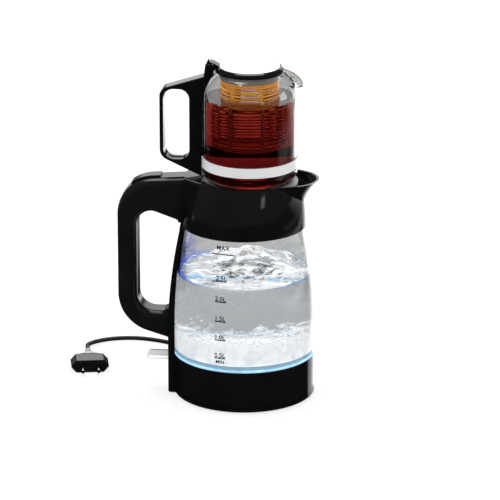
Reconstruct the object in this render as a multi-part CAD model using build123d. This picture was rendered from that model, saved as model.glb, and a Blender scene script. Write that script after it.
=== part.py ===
from build123d import *
import math
import os

# Automatic tea maker: a cordless glass kettle on its power base, with a glass teapot standing in
# the kettle's mouth.  Millimetres.  The origin is the centre of the power base's underside, +Z is
# up, both spouts point to +X and both handles to -X.

# ---- power base ------------------------------------------------------------------------------
body_r = 84.0               # outside radius of the power base, the kettle's housing and its glass
cover_z = 0.8               # underside of the base's bottom cover above the table
cover_t = 2.0
lip_z = 7.0                 # top of the base's outer lip
lip_t = 2.4
foot_edge_r = 3.6           # rounding of the base's lower outer edge
plateau_r = body_r - 12.0   # raised disc that enters the kettle's skirt
plateau_z = 13.0
rest_boss_r = 14.0          # central boss of the cover, level with the feet
foot_r = 8.0
foot_pitch_r = body_r - 22.0
foot_count = 4
hub_r = 13.0                # connector dome that enters the kettle's socket
hub_z = 20.0
hub_flange_r = 19.6
slot_in_r = 7.0             # ring slot of the connector
slot_out_r = 9.6
eye_r = 2.7                 # centre hole of the connector
slot_floor_z = 14.5

# ---- kettle body -----------------------------------------------------------------------------
skirt_gap = 0.6             # shadow line between the base's lip and the kettle's skirt
housing_z = 51.0            # top of the black housing
housing_wall = 2.4
flange_in_r = body_r - 8.0  # inward flange that carries the light ring and the heater plate
bottom_plate_t = 2.4
light_ring_h = 3.4
light_ring_w = 5.0
glass_wall = 3.0
taper_z = 80.0              # the glass is straight up to here, then curves in
glass_top_z = 216.0
glass_top_r = 69.2
plate_t = 0.8               # stainless heater plate
plate_rim_h = 6.0
spreader_r = body_r - 20.0
spreader_t = 3.0
element_r = body_r - 38.0   # sheathed heating element, bent to this radius
element_tube_r = 4.0

# ---- collar ----------------------------------------------------------------------------------
collar_z = glass_top_z - 7.2    # lower edge of the collar, over the top of the glass
collar_r = glass_top_r + 4.3
collar_wall = 3.0
rim_z = glass_top_z + 50.0
pot_r = 55.3                # outside radius of the teapot's wall
rim_r = pot_r + 4.2
teapot_x = 6.7              # the mouth and the teapot stand this far towards the spout
spout_h = 36.0              # root of the kettle's spout below the rim
spout_lip = 21.8            # tip of the kettle's spout beyond the rim
seal_h = 3.0
seat_t = 3.0                # ring in the mouth that the teapot stands on
seat_z = rim_z - 4.0
seat_in_r = rim_r - 16.5

# ---- kettle handle ---------------------------------------------------------------------------
spine_proud = 4.6           # the spine stands this far out of the glass at its foot
spine_top_proud = 3.0       # and this far under the collar
spine_w = 33.0              # width of the spine under the collar
spine_foot_w = 53.0         # width of the spine at its foot
spine_edge_r = 4.8
handle_x = -(body_r + 65.4)     # back of the grip
handle_grip = 23.4          # thickness of the grip, back to front
handle_w = 35.0
handle_edge_r = 8.0
handle_wall = 3.2
root_x = -(glass_top_r + 7.3)   # joint between the spine's saddle and the grip
root_low_z = collar_z + 3.2
cap_proud = 2.4             # raised cap on the grip's top corner
cap_w = 16.0

# ---- switch ----------------------------------------------------------------------------------
pivot_x = -(body_r - 14.0)
pivot_z = 40.0
paddle_tip_x = -(body_r + 32.0)
paddle_w = 20.0
paddle_t = 5.4
arm_t = 3.6
arm_reach = 16.0            # pivot to the thermostat's plunger
pin_r = 1.5
plunger_r = 2.0

# ---- teapot ----------------------------------------------------------------------------------
pot_h = 132.2               # foot of the glass to its mouth
pot_wall = 1.7
foot_ring_r = pot_r - 8.3
band_r = pot_r + 1.1
band_z = seat_z + 18.8
band_h = 11.8
mouth_z = seat_z + pot_h
mouth_r = pot_r - 16.9
shoulder_h = 32.2
shoulder_z = mouth_z - shoulder_h
beak_reach = pot_r + 7.2    # tip of the glass beak from the teapot's axis
beak_tip_z = mouth_z - 13.6
strap_x = pot_r + 50.0      # back of the teapot's handle from the teapot's axis
strap_t = 4.5
strap_w = 20.0
strap_edge_r = 1.4
pot_spine_r = pot_r + 15.0  # back of the handle's spine from the teapot's axis
pot_handle_z = seat_z + 4.6
hole_low_z = seat_z + 25.2  # finger opening of the teapot's handle
hole_high_z = mouth_z - 22.2

# ---- lid and infuser -------------------------------------------------------------------------
lid_r = mouth_r + 1.4
lid_disc_r = mouth_r - 3.5
hinge_reach = mouth_r + 6.1     # lid hinge from the teapot's axis
hinge_z = mouth_z + 4.4
hinge_pin_r = 1.25
knuckle_r = 4.2
knuckle_w = 12.0
infuser_r = mouth_r - 4.4
infuser_z = seat_z + 44.0
infuser_wall = 0.8
rim_flange_t = 1.3
slot_rows = 20
rib_count = 6
rib_w = 4.0

# ---- mains lead ------------------------------------------------------------------------------
cord_r = 2.6
gland_x = -20.0
gland_w = 12.0
boot_len = 24.0
boot_r = 4.3
boot_z = 4.4
coil_x = 13.0
coil_y = 141.0
coil_out_r = 33.0           # middle of the outermost turn
coil_in_r = 25.0            # middle of the innermost turn
plug_x = -192.0             # centre of the plug's front face on the table
plug_y = 33.5
plug_turn = 12.0            # the plug points this many degrees off -Y
plug_w = 47.0
plug_h = 15.5
plug_flat_w = 33.0
plug_len = 24.0
plug_taper = 9.0
plug_tail_w = 22.0
plug_tail_h = 10.5
relief_len = 24.0
prong_r = 2.4
prong_len = 19.0
prong_pitch = 19.0

# ---- clearances and fasteners ----------------------------------------------------------------
slip = 0.3                  # between curved faces that part from each other
fit = 0.1                   # between pieces of one body that are clipped or glued together
screw_r = 1.5
screw_head_r = 3.0
screw_head_h = 1.8


# ---- shared shapes ---------------------------------------------------------------------------
STAND = (Align.CENTER, Align.CENTER, Align.MIN)


def disc(r, z0, z1, x=0.0, y=0.0):
    """Upright cylinder from z0 to z1."""
    return Pos(x, y, z0) * Cylinder(r, z1 - z0, align=STAND)


def ring(r_out, r_in, z0, z1, x=0.0):
    """Upright tube from z0 to z1."""
    return disc(r_out, z0, z1, x) - disc(r_in, z0, z1, x)


def block(x0, x1, y0, y1, z0, z1):
    """Box between two corners."""
    return Pos((x0 + x1) / 2, (y0 + y1) / 2, (z0 + z1) / 2) * Box(x1 - x0, y1 - y0, z1 - z0)


def turned(edges, x=0.0):
    """Solid of revolution about the upright axis at x, from a closed half section drawn in (r, z)."""
    section = Plane.XZ * make_face(edges)
    return Pos(x, 0, 0) * revolve(section, Axis.Z)


def turned_points(points, x=0.0):
    """Solid of revolution from a closed polygon of (r, z) points."""
    return turned(Polyline(*points, close=True), x)


def side_face(edges):
    """Face in the plane Y = 0 from edges drawn in (x, z)."""
    return Plane.XZ * make_face(edges)


def thick(face, width):
    """Side face given a width in Y, half to each side."""
    return extrude(face, width / 2, both=True)


def bar_x(r, x0, x1, y, z):
    """Round bar along X."""
    return Pos(x0, y, z) * Rot(0, 90, 0) * Cylinder(r, x1 - x0, align=STAND)


def bar_y(r, y0, y1, x, z):
    """Round bar along Y."""
    return Pos(x, y0, z) * Rot(-90, 0, 0) * Cylinder(r, y1 - y0, align=STAND)


def round_edges(solid, wanted, radius):
    """Fillet of the chosen edges, or the same solid where none is chosen."""
    edges = [e for e in solid.edges() if wanted(e)]
    return fillet(edges, radius) if edges else solid


def screw_down(x, y, z_head, length):
    """Pan head screw that points up from a head at z_head."""
    return disc(screw_head_r, z_head, z_head + screw_head_h, x, y) + disc(
        screw_r, z_head + screw_head_h, z_head + length, x, y)


def around(count, radius, start=0.0):
    """Places evenly spaced on a circle."""
    turns = [math.radians(start + 360.0 * i / count) for i in range(count)]
    return [(radius * math.cos(a), radius * math.sin(a)) for a in turns]


def group(solids):
    """Separate solids kept together in one node."""
    return Compound(children=list(solids))


# ---- kettle glass curve ----------------------------------------------------------------------
skirt_z = lip_z + skirt_gap
glass_z = housing_z + light_ring_h
taper_h = glass_top_z - taper_z
taper_d = body_r - glass_top_r
taper_big_r = (taper_h ** 2 + taper_d ** 2) / (2 * taper_d)


def glass_r(z):
    """Outside radius of the glass at height z."""
    h = max(0.0, z - taper_z)
    return body_r - (taper_big_r - math.sqrt(taper_big_r ** 2 - h ** 2))


def glass_curve(grow):
    """Curved part of the glass's outline, moved out by grow, from the straight part to the top."""
    mid = taper_z + taper_h / 2
    return ThreePointArc((body_r + grow, taper_z), (glass_r(mid) + grow, mid),
                         (glass_top_r + grow, glass_top_z))


def kettle_envelope(grow):
    """Solid outline of housing, light ring and glass, grown by a clearance."""
    start = (body_r + grow, taper_z)
    end = (glass_top_r + grow, glass_top_z)
    lines = Polyline(end, (0, glass_top_z), (0, 0), (body_r + grow, 0), start)
    return turned(glass_curve(grow) + lines)


# ---- collar curves ---------------------------------------------------------------------------
collar_h = rim_z - collar_z


def dome_r(z):
    """Outside radius of the collar's dome at height z."""
    t = (z - collar_z) / collar_h
    return collar_r - (collar_r - rim_r) * t * t


def dome_x(z):
    """Centre of the dome's section at height z, which moves towards the spout."""
    t = (z - collar_z) / collar_h
    return teapot_x * t * t


def dome(inset, over=0.0):
    """Solid dome, inset by a wall, drawn on above the rim by over."""
    levels = [collar_z + collar_h * i / 4 for i in range(5)]
    sections = [Pos(dome_x(z), 0, z) * Circle(dome_r(z) - inset) for z in levels]
    body = loft(sections)
    if over > 0:
        body += disc(rim_r - inset, rim_z, rim_z + over, teapot_x)
    return body


def egg(x1, r1, x2, r2, z):
    """Flat outline around a large circle and a smaller one further out along X."""
    s = (r1 - r2) / (x2 - x1)
    c = math.sqrt(1 - s * s)
    a, b = (x1 + r1 * s, r1 * c), (x2 + r2 * s, r2 * c)
    tip = ThreePointArc(b, (x2 + r2, 0), (b[0], -b[1]))
    back = ThreePointArc((a[0], -a[1]), (x1 - r1, 0), a)
    return Pos(0, 0, z) * make_face(Line(a, b) + tip + Line((b[0], -b[1]), (a[0], -a[1])) + back)


def spout(inset, over=0.0):
    """Solid of the kettle's broad spout, inset by a wall."""
    inside = 2.0
    faces = []
    for drop, beyond, share in ((spout_h, -1.9, 0.487), (22.0, 2.5, 0.521), (12.0, 10.1, 0.555),
                                (5.5, 16.3, 0.58), (0.0, spout_lip, 0.605)):
        z = rim_z - drop
        tip_r = rim_r * share - inset
        reach = dome_x(z) + dome_r(z) + beyond - inset
        faces.append(egg(dome_x(z), dome_r(z) - inset - inside, reach - tip_r, tip_r, z))
    body = loft(faces)
    if over > 0:
        body += extrude(faces[-1], over)
    return body


# ---- power base ------------------------------------------------------------------------------
gland_in_y = body_r - 18.0
gland_out_y = math.sqrt(body_r ** 2 - gland_x ** 2)
boss_r = 4.0
base_screw_r = 40.0


def base_tail(z0, z1, gap=0.0):
    """Rounded tongue of the base under the kettle's spine."""
    reach = body_r + spine_proud
    tongue = block(-reach, -plateau_r, -spine_foot_w / 2, spine_foot_w / 2, z0, z1)
    tongue = round_edges(tongue, lambda e: e.center().X < -reach + 1
                         and abs(e.tangent_at(0.5).Z) > 0.9, spine_edge_r)
    return tongue - disc(body_r + gap, z0 - 1, z1 + 1)


def power_base_shell():
    inner_r = body_r - foot_edge_r
    under = lip_z - lip_t
    arc_c = cover_z + foot_edge_r
    s = foot_edge_r * math.sqrt(0.5)
    edge = ThreePointArc((inner_r, cover_z), (inner_r + s, arc_c - s), (body_r, arc_c))
    rest = Polyline((body_r, arc_c), (body_r, lip_z), (plateau_r, lip_z), (plateau_r, plateau_z),
                    (hub_flange_r + fit, plateau_z), (hub_flange_r + fit, plateau_z - lip_t),
                    (plateau_r - lip_t, plateau_z - lip_t), (plateau_r - lip_t, under),
                    (inner_r, under), (inner_r, cover_z))
    shell = turned(edge + rest) + base_tail(cover_z + 1.2, lip_z, -1.0)
    for x, y in around(3, base_screw_r, 30):
        shell += disc(boss_r, cover_z + cover_t, plateau_z - lip_t, x, y)
        shell -= disc(screw_r, cover_z, plateau_z - lip_t - 0.6, x, y)
    notch = gland_w / 2 + fit
    return shell - block(gland_x - notch, gland_x + notch, gland_in_y - fit, body_r + 1, 0, lip_z + 0.01)


def power_base_cover():
    plate = disc(body_r - foot_edge_r - fit, cover_z, cover_z + cover_t)
    plate += disc(rest_boss_r, 0, cover_z)
    for x, y in around(foot_count, foot_pitch_r, 45):
        plate -= disc(foot_r + fit, cover_z - 1, cover_z + 0.8, x, y)
    for x, y in around(3, base_screw_r, 30):
        plate -= disc(screw_head_r + fit, cover_z - 1, cover_z + screw_head_h - 0.6, x, y)
        plate -= disc(screw_r, cover_z - 1, cover_z + cover_t + 1, x, y)
    notch = gland_w / 2 + fit
    return plate - block(gland_x - notch, gland_x + notch, gland_in_y - fit, body_r, 0, 9)


def base_feet():
    return group(disc(foot_r, 0, cover_z + 0.8, x, y) for x, y in around(foot_count, foot_pitch_r, 45))


def base_screws():
    z = cover_z - 0.6
    return group(screw_down(x, y, z, 9.0) for x, y in around(3, base_screw_r, 30))


def base_connector():
    top = plateau_z - lip_t
    body = disc(hub_flange_r + 3, top - 2.0, top) + disc(hub_flange_r, top, plateau_z)
    dome_part = disc(hub_r, plateau_z, hub_z)
    dome_part = round_edges(dome_part, lambda e: e.center().Z > hub_z - 0.1, 1.6)
    body += dome_part
    body -= ring(slot_out_r, slot_in_r, slot_floor_z, hub_z + 1)
    body -= disc(eye_r, slot_floor_z, hub_z + 1)
    for x, y in around(3, base_screw_r / 2, 90):
        body += disc(2.2, cover_z + cover_t, top - 2.0, x, y)
    return body


def base_contacts():
    z1 = slot_floor_z + 0.8
    return group([ring(slot_out_r - fit / 2, slot_in_r + fit / 2, slot_floor_z, z1),
                  disc(eye_r - fit / 2, slot_floor_z, z1)])


def cord_gland():
    """Strain relief: a block held in the notch of the base and a tapered boot outside it."""
    half = gland_w / 2
    neck = block(gland_x - half, gland_x + half, gland_in_y, body_r + 2, cover_z, lip_z)
    neck &= disc(body_r, 0, lip_z)
    start = Pos(gland_x, gland_out_y - 3.0, boot_z) * Rot(-90, 0, 0)
    boot = start * Cone(boot_r, cord_r + 0.5, boot_len + 3.0, align=STAND)
    boot -= disc(body_r + slip, lip_z, lip_z + 5)
    return neck + boot


# ---- mains lead ------------------------------------------------------------------------------
boot_end_y = gland_out_y + boot_len

lead_route = [(gland_x, boot_end_y, boot_z), (gland_x, boot_end_y + 14, boot_z),
              (coil_x - coil_out_r, coil_y - 6, 3.0)]

# from the coil to the plug; the lead hops over itself beside the boot, then lies on the table
tail_route = [(1.6, 110.4, 7.9), (-12, 113.5, 10.9), (-31, 118, 10.6), (-52, 123, 6.6),
              (-72, 128, 3.2), (-91, 134, 2.6), (-110, 141.7, 2.6), (-130, 149.6, 2.6),
              (-152, 153.9, 2.6), (-173, 151.2, 2.6), (-190.5, 143.6, 2.7), (-203.4, 130.8, 3.4),
              (-208.6, 116.4, 5.2)]


def plug_at(x, y, z):
    """Point of the plug's own frame, with y running back from its front face, in the part's frame."""
    a = math.radians(plug_turn)
    return (plug_x + x * math.cos(a) - y * math.sin(a), plug_y + x * math.sin(a) + y * math.cos(a), z)


def plug_place():
    return Pos(plug_x, plug_y, 0) * Rot(0, 0, plug_turn)


relief_end_y = plug_len + plug_taper + relief_len
tail_route += [plug_at(0, relief_end_y + 13.4, plug_h / 2), plug_at(0, relief_end_y, plug_h / 2)]


def corner_radii(route):
    """Radius at each corner: as large as its two runs allow."""
    radii = []
    for a, b, c in zip(route, route[1:], route[2:]):
        one, two = Vector(*b) - Vector(*a), Vector(*c) - Vector(*b)
        half_turn = math.radians(one.get_angle(two)) / 2
        radii.append(0.45 * min(one.length, two.length) / math.tan(half_turn))
    return radii


def lead(name, route):
    """Tube of the mains lead along a route."""
    radii = corner_radii(route)
    path = FilletPolyline(*route, radius=radii)
    start = Plane(origin=path @ 0, z_dir=path % 0)
    tube = sweep(start * Circle(cord_r), path=path)
    section = math.pi * cord_r ** 2
    print(name, "length %.1f" % path.length, "radii", ["%.0f" % r for r in radii],
          "volume ratio %.4f" % (tube.volume / (section * path.length)))
    return tube


def cord_coil():
    """Outer shape of the spare length: two turns side by side on the table and one on top."""
    height = 4 * cord_r + 0.2
    body = ring(coil_out_r + cord_r, coil_in_r - cord_r, 0, height)
    body = round_edges(body, lambda e: True, cord_r * 0.8)
    return Pos(coil_x, coil_y, 0) * body


def plug_body():
    """Flat six-sided plug with a tapered back."""
    w, f, h = plug_w / 2, plug_flat_w / 2, plug_h
    outline = [(-w, h / 2), (-f, 0), (f, 0), (w, h / 2), (f, h), (-f, h)]
    front = Plane(origin=(0, 0, 0), x_dir=(1, 0, 0), z_dir=(0, 1, 0))
    hexagon = make_face(Polyline(*[(x, -z) for x, z in outline], close=True))
    body = extrude(front * hexagon, plug_len)
    body = round_edges(body, lambda e: e.length > 1 and abs(e.tangent_at(0.5).Y) > 0.9, 2.0)
    back = [f for f in body.faces() if f.center().Y > plug_len - 0.1][0]
    tail = Plane(origin=(0, plug_len + plug_taper, plug_h / 2), x_dir=(1, 0, 0), z_dir=(0, 1, 0))
    small = RectangleRounded(plug_tail_w, plug_tail_h, 3.0)
    taper = loft([back, tail * small])
    return plug_place() * (body + taper)


def plug_relief():
    """Pale collar behind the plug and the ribbed sleeve that grows out of it."""
    z = plug_h / 2
    y0 = plug_len + plug_taper
    back = Plane(origin=(0, y0, z), x_dir=(1, 0, 0), z_dir=(0, 1, 0))
    collar_block = extrude(back * RectangleRounded(13.0, 9.0, 3.0), 8.0)
    start = Pos(0, y0 + 8.0, z) * Rot(-90, 0, 0)
    sleeve = start * Cone(4.3, cord_r + 0.5, relief_len - 8.0, align=STAND)
    for i in range(3):
        y = y0 + 10.5 + 4.0 * i
        sleeve += Pos(0, y, z) * Rot(-90, 0, 0) * Cylinder(4.6 - 0.3 * i, 1.6, align=STAND)
    return plug_place() * (collar_block + sleeve)


def plug_prongs():
    z = plug_h / 2
    prongs = []
    for x in (-prong_pitch / 2, prong_pitch / 2):
        prong = Pos(x, 0, z) * Rot(90, 0, 0) * Cylinder(prong_r, prong_len, align=STAND)
        prong = round_edges(prong, lambda e: e.center().Y < -prong_len + 0.1, 0.9)
        prongs.append(plug_place() * prong)
    return group(prongs)


# ---- kettle bottom ---------------------------------------------------------------------------
post_r = 4.2
post_pitch_r = body_r - housing_wall - post_r + 0.4
post_z = housing_z - 11.0
socket_r = hub_r + 0.5
socket_out_r = 19.0
socket_top_z = 24.0
contact_top_z = 22.4
ear_y = 11.4
ear_t = 3.0
slot_low = pivot_z - 3.4
slot_high = pivot_z + 7.4


def lever_slot(x_out, x_in):
    """Opening for the switch paddle through the housing and the spine."""
    half = paddle_w / 2 + 1.2
    return block(x_out, x_in, -half, half, slot_low, slot_high)


def kettle_housing():
    inner = body_r - housing_wall
    under = housing_z - lip_t
    body = turned_points([(body_r, skirt_z), (body_r, housing_z), (flange_in_r, housing_z),
                          (flange_in_r, under), (inner, under), (inner, skirt_z)])
    plate_top = plateau_z + bottom_plate_t
    for x, y in around(4, post_pitch_r, 45):
        body += disc(post_r, plate_top, post_z, x, y)
        body -= disc(screw_r, plate_top - 1, plate_top + 12, x, y)
    for side in (-1, 1):
        y0 = min(side * ear_y, side * (ear_y + ear_t))
        body += block(-inner - 0.6, pivot_x + 4, y0, y0 + ear_t, pivot_z - 5, pivot_z + 5)
    body -= bar_y(pin_r, -ear_y - ear_t - 1, ear_y + ear_t + 1, pivot_x, pivot_z)
    return body - lever_slot(-body_r - 2, -inner + 3)


def kettle_bottom_plate():
    z0, z1 = plateau_z, plateau_z + bottom_plate_t
    plate = disc(body_r - housing_wall - fit, z0, z1) - disc(socket_out_r + fit, z0 - 1, z1 + 1)
    for x, y in around(4, post_pitch_r, 45):
        plate -= disc(screw_r, z0 - 1, z1 + 1, x, y)
    return plate


def bottom_screws():
    z = plateau_z - screw_head_h
    return group(screw_down(x, y, z, 12.0) for x, y in around(4, post_pitch_r, 45))


def kettle_socket():
    """Cup that drops over the base's connector."""
    z0 = plateau_z + 0.4
    cup = disc(socket_out_r, z0, socket_top_z) - disc(socket_r, z0 - 1, hub_z + 1)
    cup += disc(socket_out_r + 2.4, plateau_z + bottom_plate_t, plateau_z + bottom_plate_t + 1.6)
    cup -= disc(socket_r, z0 - 1, hub_z + 1)
    cup -= ring(slot_out_r - 0.7, slot_in_r + 0.7, hub_z, contact_top_z)
    return cup - disc(eye_r - 0.5, hub_z, contact_top_z)


def socket_contacts():
    z0 = slot_floor_z + 2.0
    blade = ring(slot_out_r - 0.75, slot_in_r + 0.75, z0, contact_top_z)
    return group([blade, disc(eye_r - 0.55, z0, contact_top_z)])


carrier_x = pivot_x + arm_reach
control_top = socket_top_z + 14.0


def thermostat():
    """Thermostat block on the socket, with the arm that guides the switch plunger."""
    body = block(-22, 22, -18, 18, socket_top_z, control_top)
    body += block(carrier_x - 5, -22, -6, 6, socket_top_z, socket_top_z + 6)
    for y in (-12, 12):
        body += disc(3.0, control_top, housing_z - spreader_t, 10, y)
    return body - disc(plunger_r + 0.05, socket_top_z - 1, socket_top_z + 7, carrier_x, 0)


def switch_plunger():
    """Domed pin under the lever's inner arm; it drops as the lever goes to off."""
    z_top = pivot_z - arm_t / 2 - slip
    rod = disc(plunger_r, socket_top_z - 2.0, z_top, carrier_x, 0)
    rod = round_edges(rod, lambda e: e.center().Z > z_top - 0.1, 1.2)
    return rod + disc(plunger_r + 1.2, socket_top_z + 9.5, socket_top_z + 11, carrier_x, 0)


def switch_lever():
    """Clear paddle, its hub on the pivot pin, and the inner arm over the plunger."""
    half = paddle_t / 2
    hub = bar_y(3.6, -ear_y + 0.3, ear_y - 0.3, pivot_x, pivot_z)
    paddle = block(paddle_tip_x, pivot_x, -paddle_w / 2, paddle_w / 2, pivot_z - half, pivot_z + half)
    paddle = round_edges(paddle, lambda e: e.center().X < paddle_tip_x + 0.1
                         and abs(e.tangent_at(0.5).Z) > 0.9, 5.0)
    paddle = round_edges(paddle, lambda e: e.center().X < -body_r - 11
                         and abs(e.center().Z - pivot_z) > half - 0.1, 0.8)
    arm = block(pivot_x, carrier_x + 2.6, -4, 4, pivot_z - arm_t / 2, pivot_z + arm_t / 2)
    return hub + paddle + arm - bar_y(pin_r + 0.05, -20, 20, pivot_x, pivot_z)


def switch_pin():
    reach = ear_y + ear_t
    return bar_y(pin_r, -reach, reach, pivot_x, pivot_z)


# ---- heater ----------------------------------------------------------------------------------
plate_r = body_r - light_ring_w - 0.4


def heater_plate():
    """Stainless pan that closes the glass from below."""
    pan = disc(plate_r, housing_z, housing_z + plate_t)
    return pan + ring(plate_r, plate_r - plate_t, housing_z, housing_z + plate_rim_h)


def heat_spreader():
    return disc(spreader_r, housing_z - spreader_t, housing_z)


def heating_element():
    """Sheathed tube bent to most of a circle, with two cold ends."""
    z = housing_z - spreader_t - element_tube_r
    section = Pos(element_r, 0, z) * Rot(90, 0, 0) * Circle(element_tube_r)
    coil = revolve(section, Axis.Z, 290)
    ends = []
    for degrees in (2.0, 288.0):
        a = math.radians(degrees)
        x, y = element_r * math.cos(a), element_r * math.sin(a)
        ends.append(disc(1.6, z - 12, z, x, y))
    return coil + ends[0] + ends[1]


def led_board():
    under = housing_z - lip_t
    return ring(body_r - housing_wall - 0.4, flange_in_r, under - 1.6, under)


def light_ring():
    return ring(body_r, body_r - light_ring_w, housing_z, glass_z)


def glass_seal():
    """Silicone ring between the glass and the rim of the heater plate."""
    inner = body_r - glass_wall
    z1 = housing_z + plate_rim_h
    low = ring(body_r - light_ring_w, plate_r, housing_z + 0.4, glass_z)
    return low + ring(inner, plate_r, glass_z, z1 + 1.0)


def kettle_glass():
    w = glass_wall
    outer = Line((body_r, glass_z), (body_r, taper_z)) + glass_curve(0)
    inner = glass_curve(-w) + Line((body_r - w, taper_z), (body_r - w, glass_z))
    top = Line((glass_top_r, glass_top_z), (glass_top_r - w, glass_top_z))
    foot = Line((body_r - w, glass_z), (body_r, glass_z))
    return turned(outer + top + inner + foot)


# ---- collar ----------------------------------------------------------------------------------
ledge_z = glass_top_z + seal_h
mouth_bore_r = rim_r - collar_wall


def collar():
    """Black dome with the spout, the teapot's mouth and the ledge that sits on the glass."""
    pour = spout(collar_wall, 1.0)
    seat_under = seat_z - seat_t
    body = dome(0) + spout(0)
    body -= dome(collar_wall, 1.0) + pour
    ledge = ring(dome_r(ledge_z + 3) - 1.5, glass_top_r - glass_wall, ledge_z, ledge_z + 3)
    sleeve = disc(rim_r + 6, seat_under - 3, rim_z, teapot_x) & dome(1.0)
    sleeve -= disc(mouth_bore_r, seat_under, rim_z, teapot_x)
    sleeve -= disc(mouth_bore_r - 4, seat_under - 3, seat_under, teapot_x)
    body += ledge + (sleeve - pour)
    return body - kettle_envelope(fit)


def collar_seal():
    """Soft ring on the top edge of the glass, under the collar's ledge."""
    return ring(glass_top_r + 0.6, glass_top_r - glass_wall, glass_top_z, ledge_z)


def seat_ring():
    """Ring in the mouth that the teapot stands on."""
    return ring(mouth_bore_r - fit, seat_in_r, seat_z - seat_t, seat_z, teapot_x)


# ---- kettle handle ---------------------------------------------------------------------------
joint_line = [(root_x, root_low_z), (root_x, rim_z - 24.0), (root_x + 8.0, rim_z + 1.4)]
saddle_in_x = root_x + 46.5     # the saddle reaches this far in over the collar
above = rim_z + 34.0            # clear of the top of the grip


def spine_x(z):
    """Back of the spine at height z."""
    t = max(0.0, z - taper_z) / (root_low_z - taper_z)
    return -(glass_r(z) + spine_proud + (spine_top_proud - spine_proud) * t)


def spine_face():
    """Side outline of the spine: strip beside the glass, then the saddle up to the collar."""
    arc = [(spine_x(z), z) for z in (taper_z, (taper_z + root_low_z) / 2, root_low_z)]
    foot = (spine_x(taper_z), skirt_z)
    edges = Line(foot, arc[0]) + ThreePointArc(*arc)
    edges += Polyline(arc[2], *joint_line, (saddle_in_x - 4, rim_z - 2.6), (saddle_in_x, rim_z - 26),
                      (saddle_in_x, skirt_z), foot)
    return side_face(edges)


def spine_strip():
    """Strip beside the glass, which narrows from its foot to the collar."""
    top, foot = spine_w / 2, spine_foot_w / 2
    high = root_low_z + 8.0
    mid = (taper_z + high) / 2
    left = Line((-foot, 0), (-foot, taper_z)) + Spline((-foot, taper_z), (-(top + foot) / 2, mid),
                                                       (-top, high), tangents=[(0, 1), (0, 1)])
    right = Line((foot, taper_z), (foot, 0)) + Spline((top, high), ((top + foot) / 2, mid),
                                                      (foot, taper_z), tangents=[(0, -1), (0, -1)])
    outline = left + Polyline((-top, high), (-top, above), (top, above), (top, high)) + right
    front = make_face(outline + Line((foot, 0), (-foot, 0)))
    body = thick(spine_face(), 2 * spine_foot_w) & extrude(Plane.YZ * front, 2 * body_r, both=True)
    return round_edges(body, lambda e: e.center().X < root_x + 16.5 and e.center().Z < root_low_z
                       and abs(e.tangent_at(0.5).Z) > 0.7, spine_edge_r)


def saddle():
    """Upper end of the spine, which widens as it wraps the collar's dome."""
    half = handle_w / 2
    side = [(root_x - 5.5, half - 0.3), (root_x, half), (root_x + 10.5, half + 4.0),
            (root_x + 21.5, half + 9.3), (root_x + 40.5, half + 18.0)]
    other = [(x, -y) for x, y in reversed(side)]
    plan = make_face(Spline(*side) + Line(side[-1], other[0]) + Spline(*other) + Line(other[-1], side[0]))
    body = thick(spine_face(), 90) & (Pos(0, 0, root_low_z - 8) * extrude(plan, 80))
    return round_edges(body, lambda e: e.center().Z > rim_z - 4 and abs(e.center().Y) > half
                       and e.length > 15, 5.0)


def handle_spine():
    body = spine_strip() + saddle()
    body -= kettle_envelope(fit)
    body -= dome(-fit)
    body -= disc(collar_r + fit, collar_z - 6, collar_z + 10)
    body -= lever_slot(-body_r - 9, -body_r + 24)
    low_x = -glass_r(screw_heights[0]) - 2.0
    for z in screw_heights:
        body -= bar_x(screw_r, handle_x, saddle_in_x, 0, z)
    body -= bar_x(screw_head_r + fit, low_x, saddle_in_x, 0, screw_heights[0])
    return body - bar_x(screw_head_r + fit, screw_top_x, saddle_in_x, 0, screw_heights[1])


screw_heights = (housing_z + 31.0, rim_z - 26.0)
screw_top_x = root_x + 6.0


def grip_outline():
    """Outer outline of the D-shaped grip in (x, z)."""
    inner = root_x + 36.5
    corners = [(inner, rim_z + 2.8), (handle_x, rim_z - 6.0), (handle_x, housing_z + 33.0),
               (inner, housing_z - 0.5)]
    path = FilletPolyline(*corners, radius=[45.0, 48.0])
    return make_face(path + Line(corners[-1], corners[0]))


def finger_hole():
    """Opening for the fingers in (x, z)."""
    left = handle_x + handle_grip
    mid, high, bottom = root_low_z - 48.0, root_low_z - 0.5, housing_z + 48.0
    low = [(spine_x(mid) + 3.0, mid), (spine_x(mid) + 2.8, mid - 1.0)]
    corners = [low[0], (spine_x(high) - 0.8, high), (left, root_low_z + 18.0), (left, bottom),
               (spine_x(bottom) - 0.3, bottom), low[1]]
    path = FilletPolyline(*corners, radius=[8.0, 17.0, 20.0, 11.0])
    return make_face(path + Line(low[1], low[0]))


def grip_solid():
    """Whole grip before it is parted: a rounded D, open where the fingers go."""
    face = grip_outline() - finger_hole()
    body = thick(Plane.XZ * face, handle_w)
    return round_edges(body, lambda e: abs(abs(e.center().Y) - handle_w / 2) < 0.01
                       and e.center().X < root_x + 12.5, handle_edge_r)


def grip_core():
    """Hollow inside the grip."""
    face = offset(grip_outline(), -handle_wall) - offset(finger_hole(), handle_wall)
    return thick(Plane.XZ * face, handle_w - 2 * handle_wall)


def grip_trim():
    """Everything on the kettle's side of the grip's joint faces."""
    beyond = Polyline(*joint_line, (root_x + 8.0, above), (0, above), (0, root_low_z - 30),
                      (root_x, root_low_z - 30), joint_line[0])
    beside = thick(spine_face(), 2 * handle_w) + thick(side_face(beyond), 2 * handle_w)
    return beside + kettle_envelope(spine_top_proud)


def top_cover_zone(grow):
    """Raised cap let into the grip's top corner."""
    band = offset(grip_outline(), cap_proud + grow) - offset(grip_outline(), -2.4 - grow)
    long = thick(Plane.XZ * band, cap_w + 2 * grow)
    low_x, high_x = handle_x + 16.9, handle_x + 51.4
    return long & block(low_x - grow, high_x + grow, -cap_w, cap_w, rim_z - 30, above)


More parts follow.
